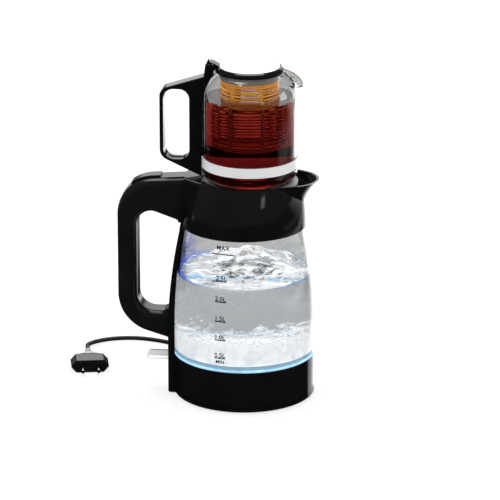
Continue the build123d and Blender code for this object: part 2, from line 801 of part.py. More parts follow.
def grip_shells():
    """The grip parted along its length into a back shell and a finger-side shell."""
    body = grip_solid() - grip_core() - grip_trim()
    inner_zone = thick(Plane.XZ * offset(grip_outline(), -handle_grip / 2), handle_w + 2)
    for z in screw_heights:
        body -= bar_x(screw_r, handle_x + handle_wall, saddle_in_x, 0, z)
    back = body - inner_zone - top_cover_zone(fit)
    front = body & inner_zone
    return back, front


def handle_screws():
    low_x = -glass_r(screw_heights[0]) - 2.0
    low = bar_x(screw_head_r, low_x, low_x + screw_head_h, 0, screw_heights[0])
    low += bar_x(screw_r, low_x - 14, low_x, 0, screw_heights[0])
    top = bar_x(screw_head_r, screw_top_x, screw_top_x + screw_head_h, 0, screw_heights[1])
    top += bar_x(screw_r, screw_top_x - 18, screw_top_x, 0, screw_heights[1])
    return group([low, top])


# ---- teapot ----------------------------------------------------------------------------------
# outside of the teapot's glass in (radius, z): rounded foot, seat of the band, wall and shoulder
foot_curve = [(foot_ring_r, seat_z), (pot_r - 3.7, seat_z + 4.0), (pot_r - 0.1, seat_z + 11.0),
              (band_r, band_z - 0.8)]
shoulder_shares = [(0.0, 0.0), (0.077, 0.264), (0.278, 0.528), (0.598, 0.776), (0.9645, 0.963), (1.0, 1.0)]
shoulder_curve = [(pot_r - (pot_r - mouth_r) * a, shoulder_z + shoulder_h * b) for a, b in shoulder_shares]


def inset_curve(points, wall):
    """Points moved inwards by a wall, square to the curve."""
    moved = []
    for i, (r, z) in enumerate(points):
        r0, z0 = points[max(i - 1, 0)]
        r1, z1 = points[min(i + 1, len(points) - 1)]
        length = math.hypot(r1 - r0, z1 - z0)
        moved.append((r - wall * (z1 - z0) / length, z + wall * (r1 - r0) / length))
    return moved


def pot_outside():
    """Outer solid of the teapot's glass."""
    neck = shoulder_curve[:5]
    edges = Spline(*foot_curve) + Polyline(foot_curve[-1], (pot_r, band_z), (pot_r, shoulder_z))
    edges += Spline(*neck, tangents=[(0, 1), (-1, 0.8)])
    edges += Polyline(neck[-1], (mouth_r, mouth_z), (0, mouth_z), (0, seat_z), (foot_ring_r, seat_z))
    return turned(edges, teapot_x)


def pot_inside():
    """Hollow of the teapot's glass, drawn on through the mouth."""
    foot = inset_curve(foot_curve, pot_wall)[1:3]
    neck = inset_curve(shoulder_curve[:5], pot_wall)
    wall_r = pot_r - pot_wall
    neck[0] = (wall_r, shoulder_z)
    mouth_in = mouth_r - pot_wall
    floor_z = seat_z + pot_wall
    edges = Polyline((0, floor_z), (foot_ring_r - pot_wall, floor_z), foot[0], foot[1],
                     (wall_r, band_z), (wall_r, shoulder_z))
    edges += Spline(*neck[:4], tangents=[(0, 1), (-1, 1.2)])
    edges += Polyline(neck[3], (mouth_in, mouth_z - 1.5), (mouth_in, mouth_z + 20), (0, mouth_z + 20),
                      (0, floor_z))
    return turned(edges, teapot_x)


def beak(inset):
    """Solid wedge of the glass beak, inset by a wall, before its top is cut."""
    faces = []
    for reach, z, half_w, half_h in ((mouth_r - 8.4, mouth_z - 4.2, 21.0, 15.0),
                                     (pot_r - 5.3, mouth_z - 8.7, 13.5, 10.0),
                                     (beak_reach - 0.5 + inset, beak_tip_z, 3.6, 3.2)):
        place = Plane(origin=(teapot_x + reach, 0, z), x_dir=(0, 1, 0), z_dir=(1, 0, 0))
        shrink = min(inset, half_h - 0.8)
        faces.append(place * Ellipse(half_w - shrink, half_h - shrink))
    return loft(faces)


def beak_top():
    """Space above the beak's pouring edge."""
    inner, outer, high = mouth_r / 2, beak_reach + 20, mouth_z + 46
    line = [(inner, mouth_z), (mouth_r + 1.6, mouth_z), (pot_r - 5.3, mouth_z - 2.2),
            (pot_r + 2.2, mouth_z - 6.8), (beak_reach + 0.2, beak_tip_z), (outer, beak_tip_z),
            (outer, high), (inner, high)]
    face = make_face(Polyline(*[(teapot_x + x, z) for x, z in line], close=True))
    return thick(Plane.XZ * face, 80)


def teapot_glass():
    body = pot_outside() + (beak(0) - beak_top())
    return body - pot_inside() - beak(pot_wall)


def teapot_band():
    """Stainless clamp around the foot of the glass; it holds the handle."""
    return ring(band_r, pot_r + fit / 2, band_z, band_z + band_h, teapot_x)


hinge_x = teapot_x - hinge_reach
fork_gap = knuckle_w / 2 + 0.4
cheek_r = 5.0               # the two cheeks of the handle's fork around the hinge
hinge_top = hinge_z + 12.0      # clear of the top of the hinge


def handle_outline():
    """Outer outline of the teapot's handle in (x, z)."""
    x = teapot_x
    corners = [(x - pot_r + 15.3, pot_handle_z - 3), (x - pot_r - 0.7, pot_handle_z + 0.6),
               (x - strap_x, hole_low_z + 2.8), (x - strap_x, hole_high_z - 0.5),
               (hinge_x - 8.5, hinge_z - 10.4)]
    path = FilletPolyline(*corners, radius=[6.0, 14.0, 12.0])
    cheek = cheek_r * math.sqrt(0.5)
    back = Polyline(corners[-1], (hinge_x - 6.5, hinge_z + 4.0), (hinge_x - 4.7, hinge_z + 7.0),
                    (hinge_x - cheek, hinge_z + cheek))
    nose = ThreePointArc((hinge_x - cheek, hinge_z + cheek), (hinge_x + cheek, hinge_z + cheek),
                         (hinge_x + cheek, hinge_z - cheek))
    low_z = hinge_z - 10.6
    low = Polyline((hinge_x + cheek, hinge_z - cheek), (hinge_x + cheek, low_z),
                   (x - mouth_r / 2, low_z), corners[0])
    return make_face(path + back + nose + low)


def strap_hole():
    """Finger opening of the teapot's handle in (x, z)."""
    x0, x1 = teapot_x - strap_x + strap_t, teapot_x - pot_spine_r
    place = Pos((x0 + x1) / 2, (hole_low_z + hole_high_z) / 2)
    return place * RectangleRounded(x1 - x0, hole_high_z - hole_low_z, 12.0)


def teapot_envelope(grow):
    """Outline of the teapot's glass and band, grown by a clearance."""
    neck = [(r + grow, z + grow * 0.7) for r, z in shoulder_curve[:5]]
    edges = Spline(*neck, tangents=[(0, 1), (-1, 0.8)])
    top = mouth_z + 20
    low = seat_z - 7
    edges += Polyline(neck[-1], (neck[-1][0], top), (0, top), (0, low), (band_r + grow, low),
                      (band_r + grow, band_z + band_h + grow), (pot_r + grow, band_z + band_h + grow),
                      neck[0])
    return turned(edges, teapot_x)


def teapot_handle():
    body = thick(Plane.XZ * (handle_outline() - strap_hole()), strap_w)
    body = round_edges(body, lambda e: abs(abs(e.center().Y) - strap_w / 2) < 0.01
                       and e.center().X < teapot_x - pot_r - 4.7
                       and e.center().Z < hinge_z - 15.6, strap_edge_r)
    body -= teapot_envelope(fit)
    slot_z = hinge_z - knuckle_r - 0.6
    body -= block(hinge_x - 14, hinge_x + 12, -fork_gap, fork_gap, slot_z, hinge_top)
    body -= block(hinge_x + cheek_r * 0.71, 0, -strap_w, strap_w, slot_z, hinge_top)
    body -= disc(lid_r + 0.6, lid_low_z - 0.5, hinge_top, teapot_x)
    body -= bar_y(hinge_pin_r, pin_low_y, strap_w, hinge_x, hinge_z)
    back_x = teapot_x - strap_x - 5
    body -= bar_x(screw_r, back_x, 0, 0, band_screw_z)
    return body - bar_x(screw_head_r, back_x, teapot_x - pot_spine_r + screw_head_h, 0, band_screw_z)


band_screw_z = band_z + 6.2
pin_low_y = 1.4 - strap_w / 2


def teapot_screw():
    """Screw through the handle's spine into the clamp band."""
    x0 = teapot_x - pot_spine_r
    head = bar_x(screw_head_r - 0.1, x0, x0 + screw_head_h, 0, band_screw_z)
    return head + bar_x(screw_r, x0 + screw_head_h, teapot_x - band_r - 0.05, 0, band_screw_z)


def hinge_pin():
    """Pin of the lid, pushed in from one side into a blind hole."""
    return bar_y(hinge_pin_r, pin_low_y, strap_w / 2 - 0.4, hinge_x, hinge_z)


# ---- lid and infuser -------------------------------------------------------------------------
flange_z = mouth_z + rim_flange_t
lid_low_z = mouth_z + 0.3
disc_z = mouth_z + 4.0


def lid_ring():
    """Black lid rim with its hinge arm, knuckle and thumb tab."""
    in_r = mouth_r + 0.3
    body = turned_points([(in_r, lid_low_z), (lid_r, lid_low_z), (lid_r, lid_low_z + 2.0),
                          (lid_r - 2.2, hinge_z + 0.6), (lid_disc_r + 0.2, hinge_z + 1.8),
                          (lid_disc_r + 0.2, disc_z),
                          (lid_disc_r - 4.4, disc_z), (lid_disc_r - 4.4, flange_z + 0.1),
                          (in_r, flange_z + 0.1)], teapot_x)
    half = knuckle_w / 2
    end_x = teapot_x - lid_disc_r - 0.6
    arm = thick(side_face(Polyline((hinge_x, lid_low_z + 1.4), (end_x, lid_low_z + 1.4),
                                   (end_x, hinge_z + 1.9), (hinge_x + 4.6, hinge_z + 4.4),
                                   (hinge_x - 2.6, hinge_z + 7.2), (hinge_x - 3.4, hinge_z),
                                   close=True)), knuckle_w)
    knuckle = bar_y(knuckle_r, -half, half, hinge_x, hinge_z)
    body += round_edges(arm, lambda e: e.center().Z > hinge_z + 2.4 and abs(e.center().Y) < 1, 0.8)
    body += knuckle
    return body - bar_y(hinge_pin_r + 0.05, -12, 12, hinge_x, hinge_z)


def lid_disc():
    """Domed disc set in the lid rim."""
    edge_z, crown_z = hinge_z + 2.2, hinge_z + 4.0
    dome_big_r = (lid_disc_r ** 2 + (crown_z - edge_z) ** 2) / (2 * (crown_z - edge_z))
    mid_r = lid_disc_r / 2
    mid_z = crown_z - dome_big_r + math.sqrt(dome_big_r ** 2 - mid_r ** 2)
    crown = ThreePointArc((lid_disc_r, edge_z), (mid_r, mid_z), (0, crown_z))
    return turned(crown + Polyline((0, crown_z), (0, disc_z), (lid_disc_r, disc_z),
                                   (lid_disc_r, edge_z)), teapot_x)


def infuser_rim():
    """Flange of the infuser on the mouth of the teapot."""
    low = mouth_z - 8.0
    return ring(mouth_r - 0.8, infuser_r - 1.2, mouth_z, flange_z, teapot_x) + ring(
        infuser_r + 0.6, infuser_r, low, mouth_z, teapot_x)


def infuser_basket():
    """Strainer: rows of long slots between upright ribs, closed at the bottom."""
    wall_in = infuser_r - infuser_wall
    body = ring(infuser_r, wall_in, infuser_z, mouth_z, teapot_x)
    body += disc(infuser_r, infuser_z, infuser_z + 1.0, teapot_x)
    slot_low_z, slot_high_z = infuser_z + 5.0, mouth_z - 11.0
    pitch = (slot_high_z - slot_low_z) / slot_rows
    slots = [ring(infuser_r + 1, wall_in - 1, slot_low_z + pitch * i, slot_low_z + pitch * (i + 0.5))
             for i in range(slot_rows)]
    cut = slots[0]
    for extra in slots[1:]:
        cut += extra
    rib = block(0, infuser_r + 3, -rib_w / 2, rib_w / 2, infuser_z, mouth_z)
    for i in range(rib_count):
        cut -= Rot(0, 0, 360.0 / rib_count * i) * rib
    return body - Pos(teapot_x, 0, 0) * cut


# ---- write every piece -----------------------------------------------------------------------
back_shell, front_shell = grip_shells()

nodes = {
    "power_base_shell": power_base_shell(),
    "power_base_cover": power_base_cover(),
    "base_feet": base_feet(),
    "base_screws": base_screws(),
    "base_connector": base_connector(),
    "base_contacts": base_contacts(),
    "cord_gland": cord_gland(),
    "power_cord_lead": lead("power_cord_lead", lead_route),
    "cord_coil": cord_coil(),
    "power_cord_tail": lead("power_cord_tail", tail_route),
    "plug_body": plug_body(),
    "plug_relief": plug_relief(),
    "plug_prongs": plug_prongs(),
    "kettle_housing": kettle_housing(),
    "kettle_bottom_plate": kettle_bottom_plate(),
    "bottom_screws": bottom_screws(),
    "kettle_socket": kettle_socket(),
    "socket_contacts": socket_contacts(),
    "thermostat": thermostat(),
    "switch_plunger": switch_plunger(),
    "switch_lever": switch_lever(),
    "switch_pin": switch_pin(),
    "heating_element": heating_element(),
    "heat_spreader": heat_spreader(),
    "heater_plate": heater_plate(),
    "led_board": led_board(),
    "light_ring": light_ring(),
    "glass_seal": glass_seal(),
    "kettle_glass": kettle_glass(),
    "collar_seal": collar_seal(),
    "collar": collar(),
    "seat_ring": seat_ring(),
    "handle_spine": handle_spine(),
    "handle_back_shell": back_shell,
    "handle_front_shell": front_shell,
    "handle_top_cover": top_cover_zone(0),
    "handle_screws": handle_screws(),
    "teapot_glass": teapot_glass(),
    "teapot_band": teapot_band(),
    "teapot_handle": teapot_handle(),
    "teapot_screw": teapot_screw(),
    "hinge_pin": hinge_pin(),
    "infuser_rim": infuser_rim(),
    "infuser_basket": infuser_basket(),
    "lid_ring": lid_ring(),
    "lid_disc": lid_disc(),
}

os.makedirs("parts", exist_ok=True)
for name, solid in nodes.items():
    export_step(solid, "parts/%s.step" % name)
    print(name, len(solid.solids()), "%.0f" % solid.volume)
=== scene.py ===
# Automatic tea maker: a glass kettle on its power base, with a glass teapot standing in its mouth.
# Metres, +Z up, both spouts towards +X, both handles towards -X, the mains lead towards +Y.
import math
import random

import bpy
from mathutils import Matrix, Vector


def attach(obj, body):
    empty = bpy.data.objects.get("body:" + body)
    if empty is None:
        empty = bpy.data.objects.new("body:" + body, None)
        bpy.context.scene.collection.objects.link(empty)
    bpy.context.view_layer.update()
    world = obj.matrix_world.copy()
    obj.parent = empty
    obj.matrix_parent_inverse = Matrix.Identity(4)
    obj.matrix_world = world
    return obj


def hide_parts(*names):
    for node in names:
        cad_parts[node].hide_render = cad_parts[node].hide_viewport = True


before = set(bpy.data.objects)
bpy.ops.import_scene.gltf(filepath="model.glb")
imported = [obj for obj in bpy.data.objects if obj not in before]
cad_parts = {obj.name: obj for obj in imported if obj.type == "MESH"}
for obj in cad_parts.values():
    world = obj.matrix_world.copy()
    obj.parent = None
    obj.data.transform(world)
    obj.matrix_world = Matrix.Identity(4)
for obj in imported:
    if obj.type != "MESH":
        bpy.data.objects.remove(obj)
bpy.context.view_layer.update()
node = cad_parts
bpy.ops.object.select_all(action="DESELECT")

# ==== Camera and studio =======================================================================
# A long lens from a little above the worktop. The pale worktop glows for the eye and has brighter
# patches that show in reflections alone; soft lamps hang overhead, behind and at the right.
scene = bpy.context.scene
scene.view_settings.view_transform = "Standard"

camera_place = Vector((0.4875, -3.9702, 1.519))
aim_place = Vector((0.0068, 0.0, 0.1753))
bpy.ops.object.camera_add(location=camera_place)
camera = bpy.context.object
camera.name = "camera"
camera.data.lens = 257.5
camera.data.sensor_width = 36.0
camera.data.clip_start = 0.1
camera.data.clip_end = 50.0
camera.rotation_euler = (aim_place - camera_place).to_track_quat("-Z", "Y").to_euler()
scene.camera = camera

worktop_side, worktop_z = 12.0, -0.0002
bpy.ops.mesh.primitive_plane_add(size=worktop_side, location=(0, 0, worktop_z))
worktop = bpy.context.object
worktop.name = "worktop"


def start_finish(name):
    """A new material with an empty node tree; returns it with its tree and its output node."""
    made = bpy.data.materials.new(name)
    made.use_nodes = True
    tree = made.node_tree
    tree.nodes.clear()
    return made, tree, tree.nodes.new("ShaderNodeOutputMaterial")


def wired(tree, added, feeds):
    """Set or link the inputs of a node; returns its outputs."""
    for name, value in feeds.items():
        if isinstance(value, bpy.types.NodeSocket):
            tree.links.new(value, added.inputs[name])
        else:
            added.inputs[name].default_value = value
    return added.outputs


def step(tree, kind, feeds, pick=0):
    """Add a node with its inputs set or linked; returns one of its outputs."""
    return wired(tree, tree.nodes.new(kind), feeds)[pick]


def combined(tree, operation, first, *others):
    """One number out of several, such as their product or the largest of them."""
    for other in others:
        pair = tree.nodes.new("ShaderNodeMath")
        pair.operation = operation
        first = wired(tree, pair, {0: first, 1: other})[0]
    return first


def ramped(tree, source, start, end, high=1.0, low=0.0):
    """A number that goes from low to high between two places and stays level beyond them."""
    return step(tree, "ShaderNodeMapRange", {"Value": source, "From Min": start, "From Max": end,
                                             "To Min": low, "To Max": high})


def banded(tree, source, *bands):
    """A colour that passes through a row of (place, tone) bands."""
    ramp = tree.nodes.new("ShaderNodeValToRGB")
    row = ramp.color_ramp.elements
    for element, (place, tone) in zip(row, (bands[0], bands[-1])):
        element.position = place
        element.color = (*tone, 1)
    for place, tone in bands[1:-1]:
        row.new(place).color = (*tone, 1)
    return wired(tree, ramp, {"Fac": source})["Color"]


def axes(tree):
    """The piece's own X, Y and Z."""
    own = step(tree, "ShaderNodeTexCoord", {}, "Object")
    return wired(tree, tree.nodes.new("ShaderNodeSeparateXYZ"), {"Vector": own})


def seen_level(tree, eye, gloss, glass, rest):
    """How bright a surface looks to the eye, in gloss, through glass, and as light on the object.
    A path that was mirrored on its way counts as gloss, also when it goes on through glass."""
    path = tree.nodes.new("ShaderNodeLightPath").outputs
    mirrored = combined(tree, "MINIMUM", path["Glossy Depth"], 1.0)
    level = rest
    for chosen, seen in ((path["Is Glossy Ray"], gloss), (path["Is Transmission Ray"], glass),
                         (mirrored, gloss), (path["Is Camera Ray"], eye)):
        level = step(tree, "ShaderNodeMix", {"Factor": chosen, "A": level, "B": seen})
    return level


white = (1, 1, 1, 1)
worktop_finish, tree, out = start_finish("worktop_finish")
along_x, along_y, _ = axes(tree)
paint = step(tree, "ShaderNodeBsdfDiffuse", {"Color": (0.3, 0.3, 0.3, 1)})
plain_level = seen_level(tree, eye=0.72, gloss=0.0, glass=0.06, rest=0.35)
glow = step(tree, "ShaderNodeEmission", {"Color": white, "Strength": plain_level})
matte = step(tree, "ShaderNodeAddShader", {0: paint, 1: glow})
# What reflections see instead: the worktop that grows lighter far behind, and a window at the right.
far_top = ramped(tree, along_y, 0.4, 1.2, 0.75)
pane_levels = ((0.12, 0.0), (0.2, 0.6), (0.3, 0.6), (0.36, 0.02), (0.52, 0.02), (0.62, 0.25),
               (0.8, 0.0))
pane_bands = [(place, (bright, bright, bright)) for place, bright in pane_levels]
panes = banded(tree, ramped(tree, along_x, 0.4, 1.4), *pane_bands)
window = combined(tree, "MULTIPLY", panes, ramped(tree, along_y, -0.28, -0.06))
# Two patches that light the right-hand edges, bounded by how far they lie aside for their distance
# from the place where the kettle's side turns away: one for glass and collar, one for the foot.
turn_x, turn_y = 0.079, -0.028
lean = combined(tree, "DIVIDE", ramped(tree, along_x, turn_x, turn_x + 1.0),
                ramped(tree, along_y, turn_y, turn_y + 1.0))
wide_patch = combined(tree, "MULTIPLY", ramped(tree, along_x, 0.03, 0.08),
                      ramped(tree, along_y, 0.0, 0.03, 2.5), ramped(tree, lean, 0.82, 0.34))
near_patch = combined(tree, "MULTIPLY", ramped(tree, along_x, 0.084, 0.088),
                      ramped(tree, along_y, 0.16, 0.10, 1.2), ramped(tree, lean, 1.1, 0.8),
                      ramped(tree, along_y, -0.026, -0.022))
mirror_level = combined(tree, "MAXIMUM", far_top, window, wide_patch, near_patch)
mirror_glow = step(tree, "ShaderNodeEmission", {"Color": white, "Strength": mirror_level})
in_mirror = seen_level(tree, eye=0.0, gloss=1.0, glass=0.0, rest=0.0)
faced = step(tree, "ShaderNodeMixShader", {"Fac": in_mirror, 1: matte, 2: mirror_glow})
wired(tree, out, {"Surface": faced})
worktop.data.materials.append(worktop_finish)

studio = bpy.data.worlds.new("studio")
scene.world = studio
studio.use_nodes = True
tree = studio.node_tree
sky_level = seen_level(tree, eye=1.0, gloss=0.07, glass=0.41, rest=0.9)
wired(tree, tree.nodes["Background"], {"Color": white, "Strength": sky_level})


def soft_lamp(name, size, place, look_at, power):
    """A rectangular soft lamp that faces a point."""
    bpy.ops.object.light_add(type="AREA", location=place)
    lamp = bpy.context.object
    lamp.name = name
    lamp.data.shape = "RECTANGLE"
    lamp.data.size, lamp.data.size_y = size
    lamp.data.energy = power
    turn = (Vector(look_at) - Vector(place)).to_track_quat("-Z", "Y")
    lamp.rotation_euler = turn.to_euler()


soft_lamp("overhead_lamp", size=(1.6, 1.2), place=(-0.2, 0.3, 2.0), look_at=(0, 0, 0.1), power=26)
soft_lamp("back_lamp", size=(2.2, 0.9), place=(0, 2.2, 1.0), look_at=(0, 0, 0.3), power=8.5)
soft_lamp("right_lamp", size=(0.7, 0.5), place=(1.8, 0.3, 0.75), look_at=(0, 0, 0.2), power=4)
soft_lamp("near_lamp", size=(0.22, 0.3), place=(1.1, -1.4, 0.75), look_at=(0, 0, 0.2), power=0.4)
soft_lamp("edge_lamp", size=(0.5, 1.0), place=(1.3, 1.7, 0.1), look_at=(0, 0, 0.15), power=2.0)

# ==== Power base ==============================================================================
# The base that stays on the worktop: a low black gloss tray with a raised middle, a screwed cover
# with four rubber feet, and the round cordless connector with its brass contacts.


def noise(tree, scale, stretch=(1, 1, 1), detail=4.0, rough=0.5, warp=0.0):
    """A cloudy pattern on the piece's own coordinates."""
    own = step(tree, "ShaderNodeTexCoord", {}, "Object")
    fit = step(tree, "ShaderNodeMapping", {"Vector": own, "Scale": stretch})
    return step(tree, "ShaderNodeTexNoise", {"Vector": fit, "Scale": scale, "Detail": detail,
                                             "Roughness": rough, "Distortion": warp}, "Fac")


def grain(tree, scale, height, stretch=(1, 1, 1)):
    """Fine surface relief; returns its pattern and the normal that it gives."""
    relief = noise(tree, scale, stretch)
    return relief, step(tree, "ShaderNodeBump", {"Height": relief, "Distance": height})


def spread(tree, source, low, high):
    """A pattern stretched out to run from low to high."""
    return ramped(tree, source, 0.3, 0.7, high, low)


def toned(tree, source, dark, light):
    """A colour that drifts between two close tones with a pattern."""
    return banded(tree, source, (0.3, dark), (0.7, light))


def surfaced(tree, out, looks):
    """Make the finish one solid surface with the given looks."""
    wired(tree, out, {"Surface": step(tree, "ShaderNodeBsdfPrincipled", looks)})


def moulded(name, dark, light, rough, scale, height, metal=0.0, glow=(1, 1, 1), painted_glow_level=0.0):
    """Moulded, cast or rolled stock: two close tones, an uneven roughness and a fine relief."""
    made, tree, out = start_finish(name)
    relief, bump = grain(tree, scale, height)
    surfaced(tree, out, {
        "Base Color": toned(tree, noise(tree, scale=28.0), dark, light), "Metallic": metal,
        "Roughness": spread(tree, relief, rough * 0.8, rough * 1.25), "Normal": bump,
        "Emission Color": (*glow, 1), "Emission Strength": painted_glow_level})
    return made


def dress(finish, *names):
    """Give one finish to some of the solid pieces."""
    for name in names:
        node[name].data.materials.clear()
        node[name].data.materials.append(finish)


black_gloss = moulded("black_gloss", (0.0042, 0.0042, 0.0045), (0.006, 0.006, 0.0065),
                      rough=0.1, scale=260.0, height=0.000006)
underside_black = moulded("underside_black", (0.016, 0.016, 0.018), (0.026, 0.026, 0.028),
                          rough=0.5, scale=2600.0, height=0.00003)
foot_rubber = moulded("foot_rubber", (0.03, 0.03, 0.03), (0.055, 0.055, 0.054),
                      rough=0.8, scale=1800.0, height=0.00005)
zinc_steel = moulded("zinc_steel", (0.5, 0.5, 0.52), (0.72, 0.72, 0.73),
                     rough=0.3, scale=1400.0, height=0.00001, metal=1.0)
connector_black = moulded("connector_black", (0.022, 0.022, 0.024), (0.036, 0.036, 0.038),
                          rough=0.42, scale=2200.0, height=0.00002)
contact_brass = moulded("contact_brass", (0.62, 0.42, 0.16), (0.8, 0.6, 0.28),
                        rough=0.25, scale=900.0, height=0.00001, metal=1.0)
dress(black_gloss, "power_base_shell")
dress(underside_black, "power_base_cover")
dress(foot_rubber, "base_feet")
dress(zinc_steel, "base_screws")
dress(connector_black, "base_connector")
dress(contact_brass, "base_contacts")

# ==== Mains lead ==============================================================================
# A round black lead in a sheath of extruded rubber: out of the boot, nearly three turns of spare
# length laid flat behind the base and over itself, then along the worktop to the plug. Its points
# are in millimetres, and its coil is told in degrees turned.
lead_r = 0.0026
lead_points = [(-20.0, 105.6, 4.4), (-20.0, 119.6, 4.4), (-20.0, 135.0, 3.0)]
coil_x, coil_y = 13.0, 141.0
outer_reach, inner_reach = 33.6, 25.4
floor_z, upper_z = 2.6, 7.9
whole_turn, drawn_in, let_out = 1012.0, 500.0, 560.0
climb_start, climb_turn = 470.0, 90.0
coil_steps = 38
# The coil draws in, then lets out again while it climbs over the turns below it.
for coil_step in range(1, coil_steps):
    turned = whole_turn * coil_step / coil_steps
    angle = math.radians(180.0 - turned)
    inward = min(turned / drawn_in, 1.0)
    outward = max((turned - let_out) / (whole_turn - let_out), 0.0)
    reach = outer_reach + (inner_reach - outer_reach) * (inward - outward)
    rise = min(max((turned - climb_start) / climb_turn, 0.0), 1.0)
    lead_points.append((coil_x + reach * math.cos(angle), coil_y + reach * math.sin(angle),
                        floor_z + (upper_z - floor_z) * rise * rise * (3 - 2 * rise)))
lead_points += [(1.6, 110.4, 7.9), (-12, 113.5, 10.9), (-31, 118, 10.6), (-52, 123, 6.6),
                (-72, 128, 3.2), (-91, 134, 2.6), (-110, 141.7, 2.6), (-130, 149.6, 2.6),
                (-152, 153.9, 2.6), (-173, 151.2, 2.6), (-190.5, 143.6, 2.7), (-203.4, 130.8, 3.4),
                (-208.6, 116.4, 5.2), (-206.7, 102.2, 7.75), (-203.8, 89.3, 7.75)]

route = bpy.data.curves.new("mains_lead", "CURVE")
route.dimensions = "3D"
spline = route.splines.new("NURBS")
spline.points.add(len(lead_points) - 1)
for point, (x, y, z) in zip(spline.points, lead_points):
    point.co = (x / 1000, y / 1000, z / 1000, 1)
spline.order_u = 3
spline.use_endpoint_u = True
spline.resolution_u = 12
route.bevel_depth = lead_r
route.bevel_resolution = 6
route.use_fill_caps = True
mains_lead = bpy.data.objects.new("mains_lead", route)
scene.collection.objects.link(mains_lead)

sheath_rubber = moulded("sheath_rubber", (0.008, 0.008, 0.009), (0.014, 0.014, 0.015),
                        rough=0.38, scale=1500.0, height=0.00001)
route.materials.append(sheath_rubber)
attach(mains_lead, "power_base")
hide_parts("power_cord_lead", "cord_coil", "power_cord_tail")

# ==== Plug and boot ===========================================================================
# A flat two-pin plug moulded in gloss black, with a pale ribbed sleeve where the lead enters it and
# nickel-plated pins, and the soft black boot that holds the lead at the base.
plug_gloss = moulded("plug_gloss", (0.006, 0.006, 0.007), (0.012, 0.012, 0.013),
                     rough=0.16, scale=700.0, height=0.000008)
sleeve_grey = moulded("sleeve_grey", (0.42, 0.43, 0.44), (0.56, 0.57, 0.58),
                      rough=0.5, scale=1400.0, height=0.00003)
nickel = moulded("nickel", (0.66, 0.65, 0.62), (0.8, 0.79, 0.77),
                 rough=0.14, scale=1200.0, height=0.000004, metal=1.0)
boot_rubber = moulded("boot_rubber", (0.012, 0.012, 0.013), (0.022, 0.022, 0.023),
                      rough=0.55, scale=1700.0, height=0.00003)
dress(plug_gloss, "plug_body")
dress(sleeve_grey, "plug_relief")
dress(nickel, "plug_prongs")
dress(boot_rubber, "cord_gland")

# ==== Kettle foot =============================================================================
# The black housing under the glass, its screwed bottom plate, the cordless socket, the thermostat
# and its plunger, and the heating element clamped with its spreader under the steel heater plate.


def brushed(name, dark, light, rough, stretch, height=0.000004, metal=0.8):
    """Brushed metal: fine scratches that run the way in which the pattern is stretched least."""
    made, tree, out = start_finish(name)
    relief, bump = grain(tree, 1.0, height, stretch)
    surfaced(tree, out, {
        "Base Color": toned(tree, relief, dark, light), "Metallic": metal,
        "Roughness": spread(tree, relief, rough * 0.75, rough * 1.3), "Normal": bump})
    return made


heat_tinted = moulded("heat_tinted", (0.2, 0.17, 0.15), (0.36, 0.34, 0.32),
                      rough=0.35, scale=500.0, height=0.00001, metal=1.0)
rolled_aluminium = brushed("rolled_aluminium", (0.62, 0.63, 0.65), (0.76, 0.77, 0.79),
                           rough=0.35, stretch=(900, 20, 20))
plate_steel = brushed("plate_steel", (0.5, 0.5, 0.51), (0.7, 0.7, 0.71),
                      rough=0.28, stretch=(30, 1400, 30))
pin_steel = moulded("pin_steel", (0.45, 0.45, 0.47), (0.64, 0.64, 0.66),
                    rough=0.25, scale=1600.0, height=0.000006, metal=1.0)
dress(black_gloss, "kettle_housing")
dress(underside_black, "kettle_bottom_plate")
dress(zinc_steel, "bottom_screws")
dress(connector_black, "kettle_socket", "thermostat", "switch_plunger")
dress(contact_brass, "socket_contacts")
dress(heat_tinted, "heating_element")
dress(rolled_aluminium, "heat_spreader")
dress(plate_steel, "heater_plate")
dress(pin_steel, "switch_pin")

# ==== Switch paddle ===========================================================================
# The rocker that turns the kettle on: one piece of pale clear plastic, pivoted on a steel pin in
# the foot of the spine, with a flat paddle for the thumb; painted shade darkens its far edge, and
# painted light glows on its near side.
paddle_half, paddle_foot_z, paddle_top_z = 0.0100, 0.0373, 0.0427


def tinted(tree, amount, first, second):
    """A colour between two others."""
    blend = tree.nodes.new("ShaderNodeMix")
    blend.data_type = "RGBA"
    return wired(tree, blend, {0: amount, 6: first, 7: second})[2]


paddle_clear, tree, out = start_finish("paddle_clear")
_, along_y, along_z = axes(tree)
relief, bump = grain(tree, scale=160.0, height=0.00002)
pale = toned(tree, relief, (0.92, 0.93, 0.94), (0.98, 0.98, 0.99))
# Painted shade: the far edge is darkened nearly to black.
painted_shade_edge = ramped(tree, along_y, paddle_half - 0.0062, paddle_half - 0.0040)
near_side = ramped(tree, along_y, 0.0010 - paddle_half, 0.0002 - paddle_half)
# Painted light: the near side glows white between its top and its foot.
painted_light_side = combined(tree, "MULTIPLY", near_side,
                    ramped(tree, along_z, paddle_top_z - 0.0006, paddle_top_z - 0.0012, 0.45),
                    ramped(tree, along_z, paddle_foot_z + 0.0008, paddle_foot_z + 0.0014))
surfaced(tree, out, {
    "Base Color": tinted(tree, painted_shade_edge, pale, (0.02, 0.02, 0.022, 1)),
    "Roughness": 0.16, "IOR": 1.49, "Transmission Weight": 0.08,
    "Emission Color": white, "Emission Strength": painted_light_side, "Normal": bump})
dress(paddle_clear, "switch_lever")

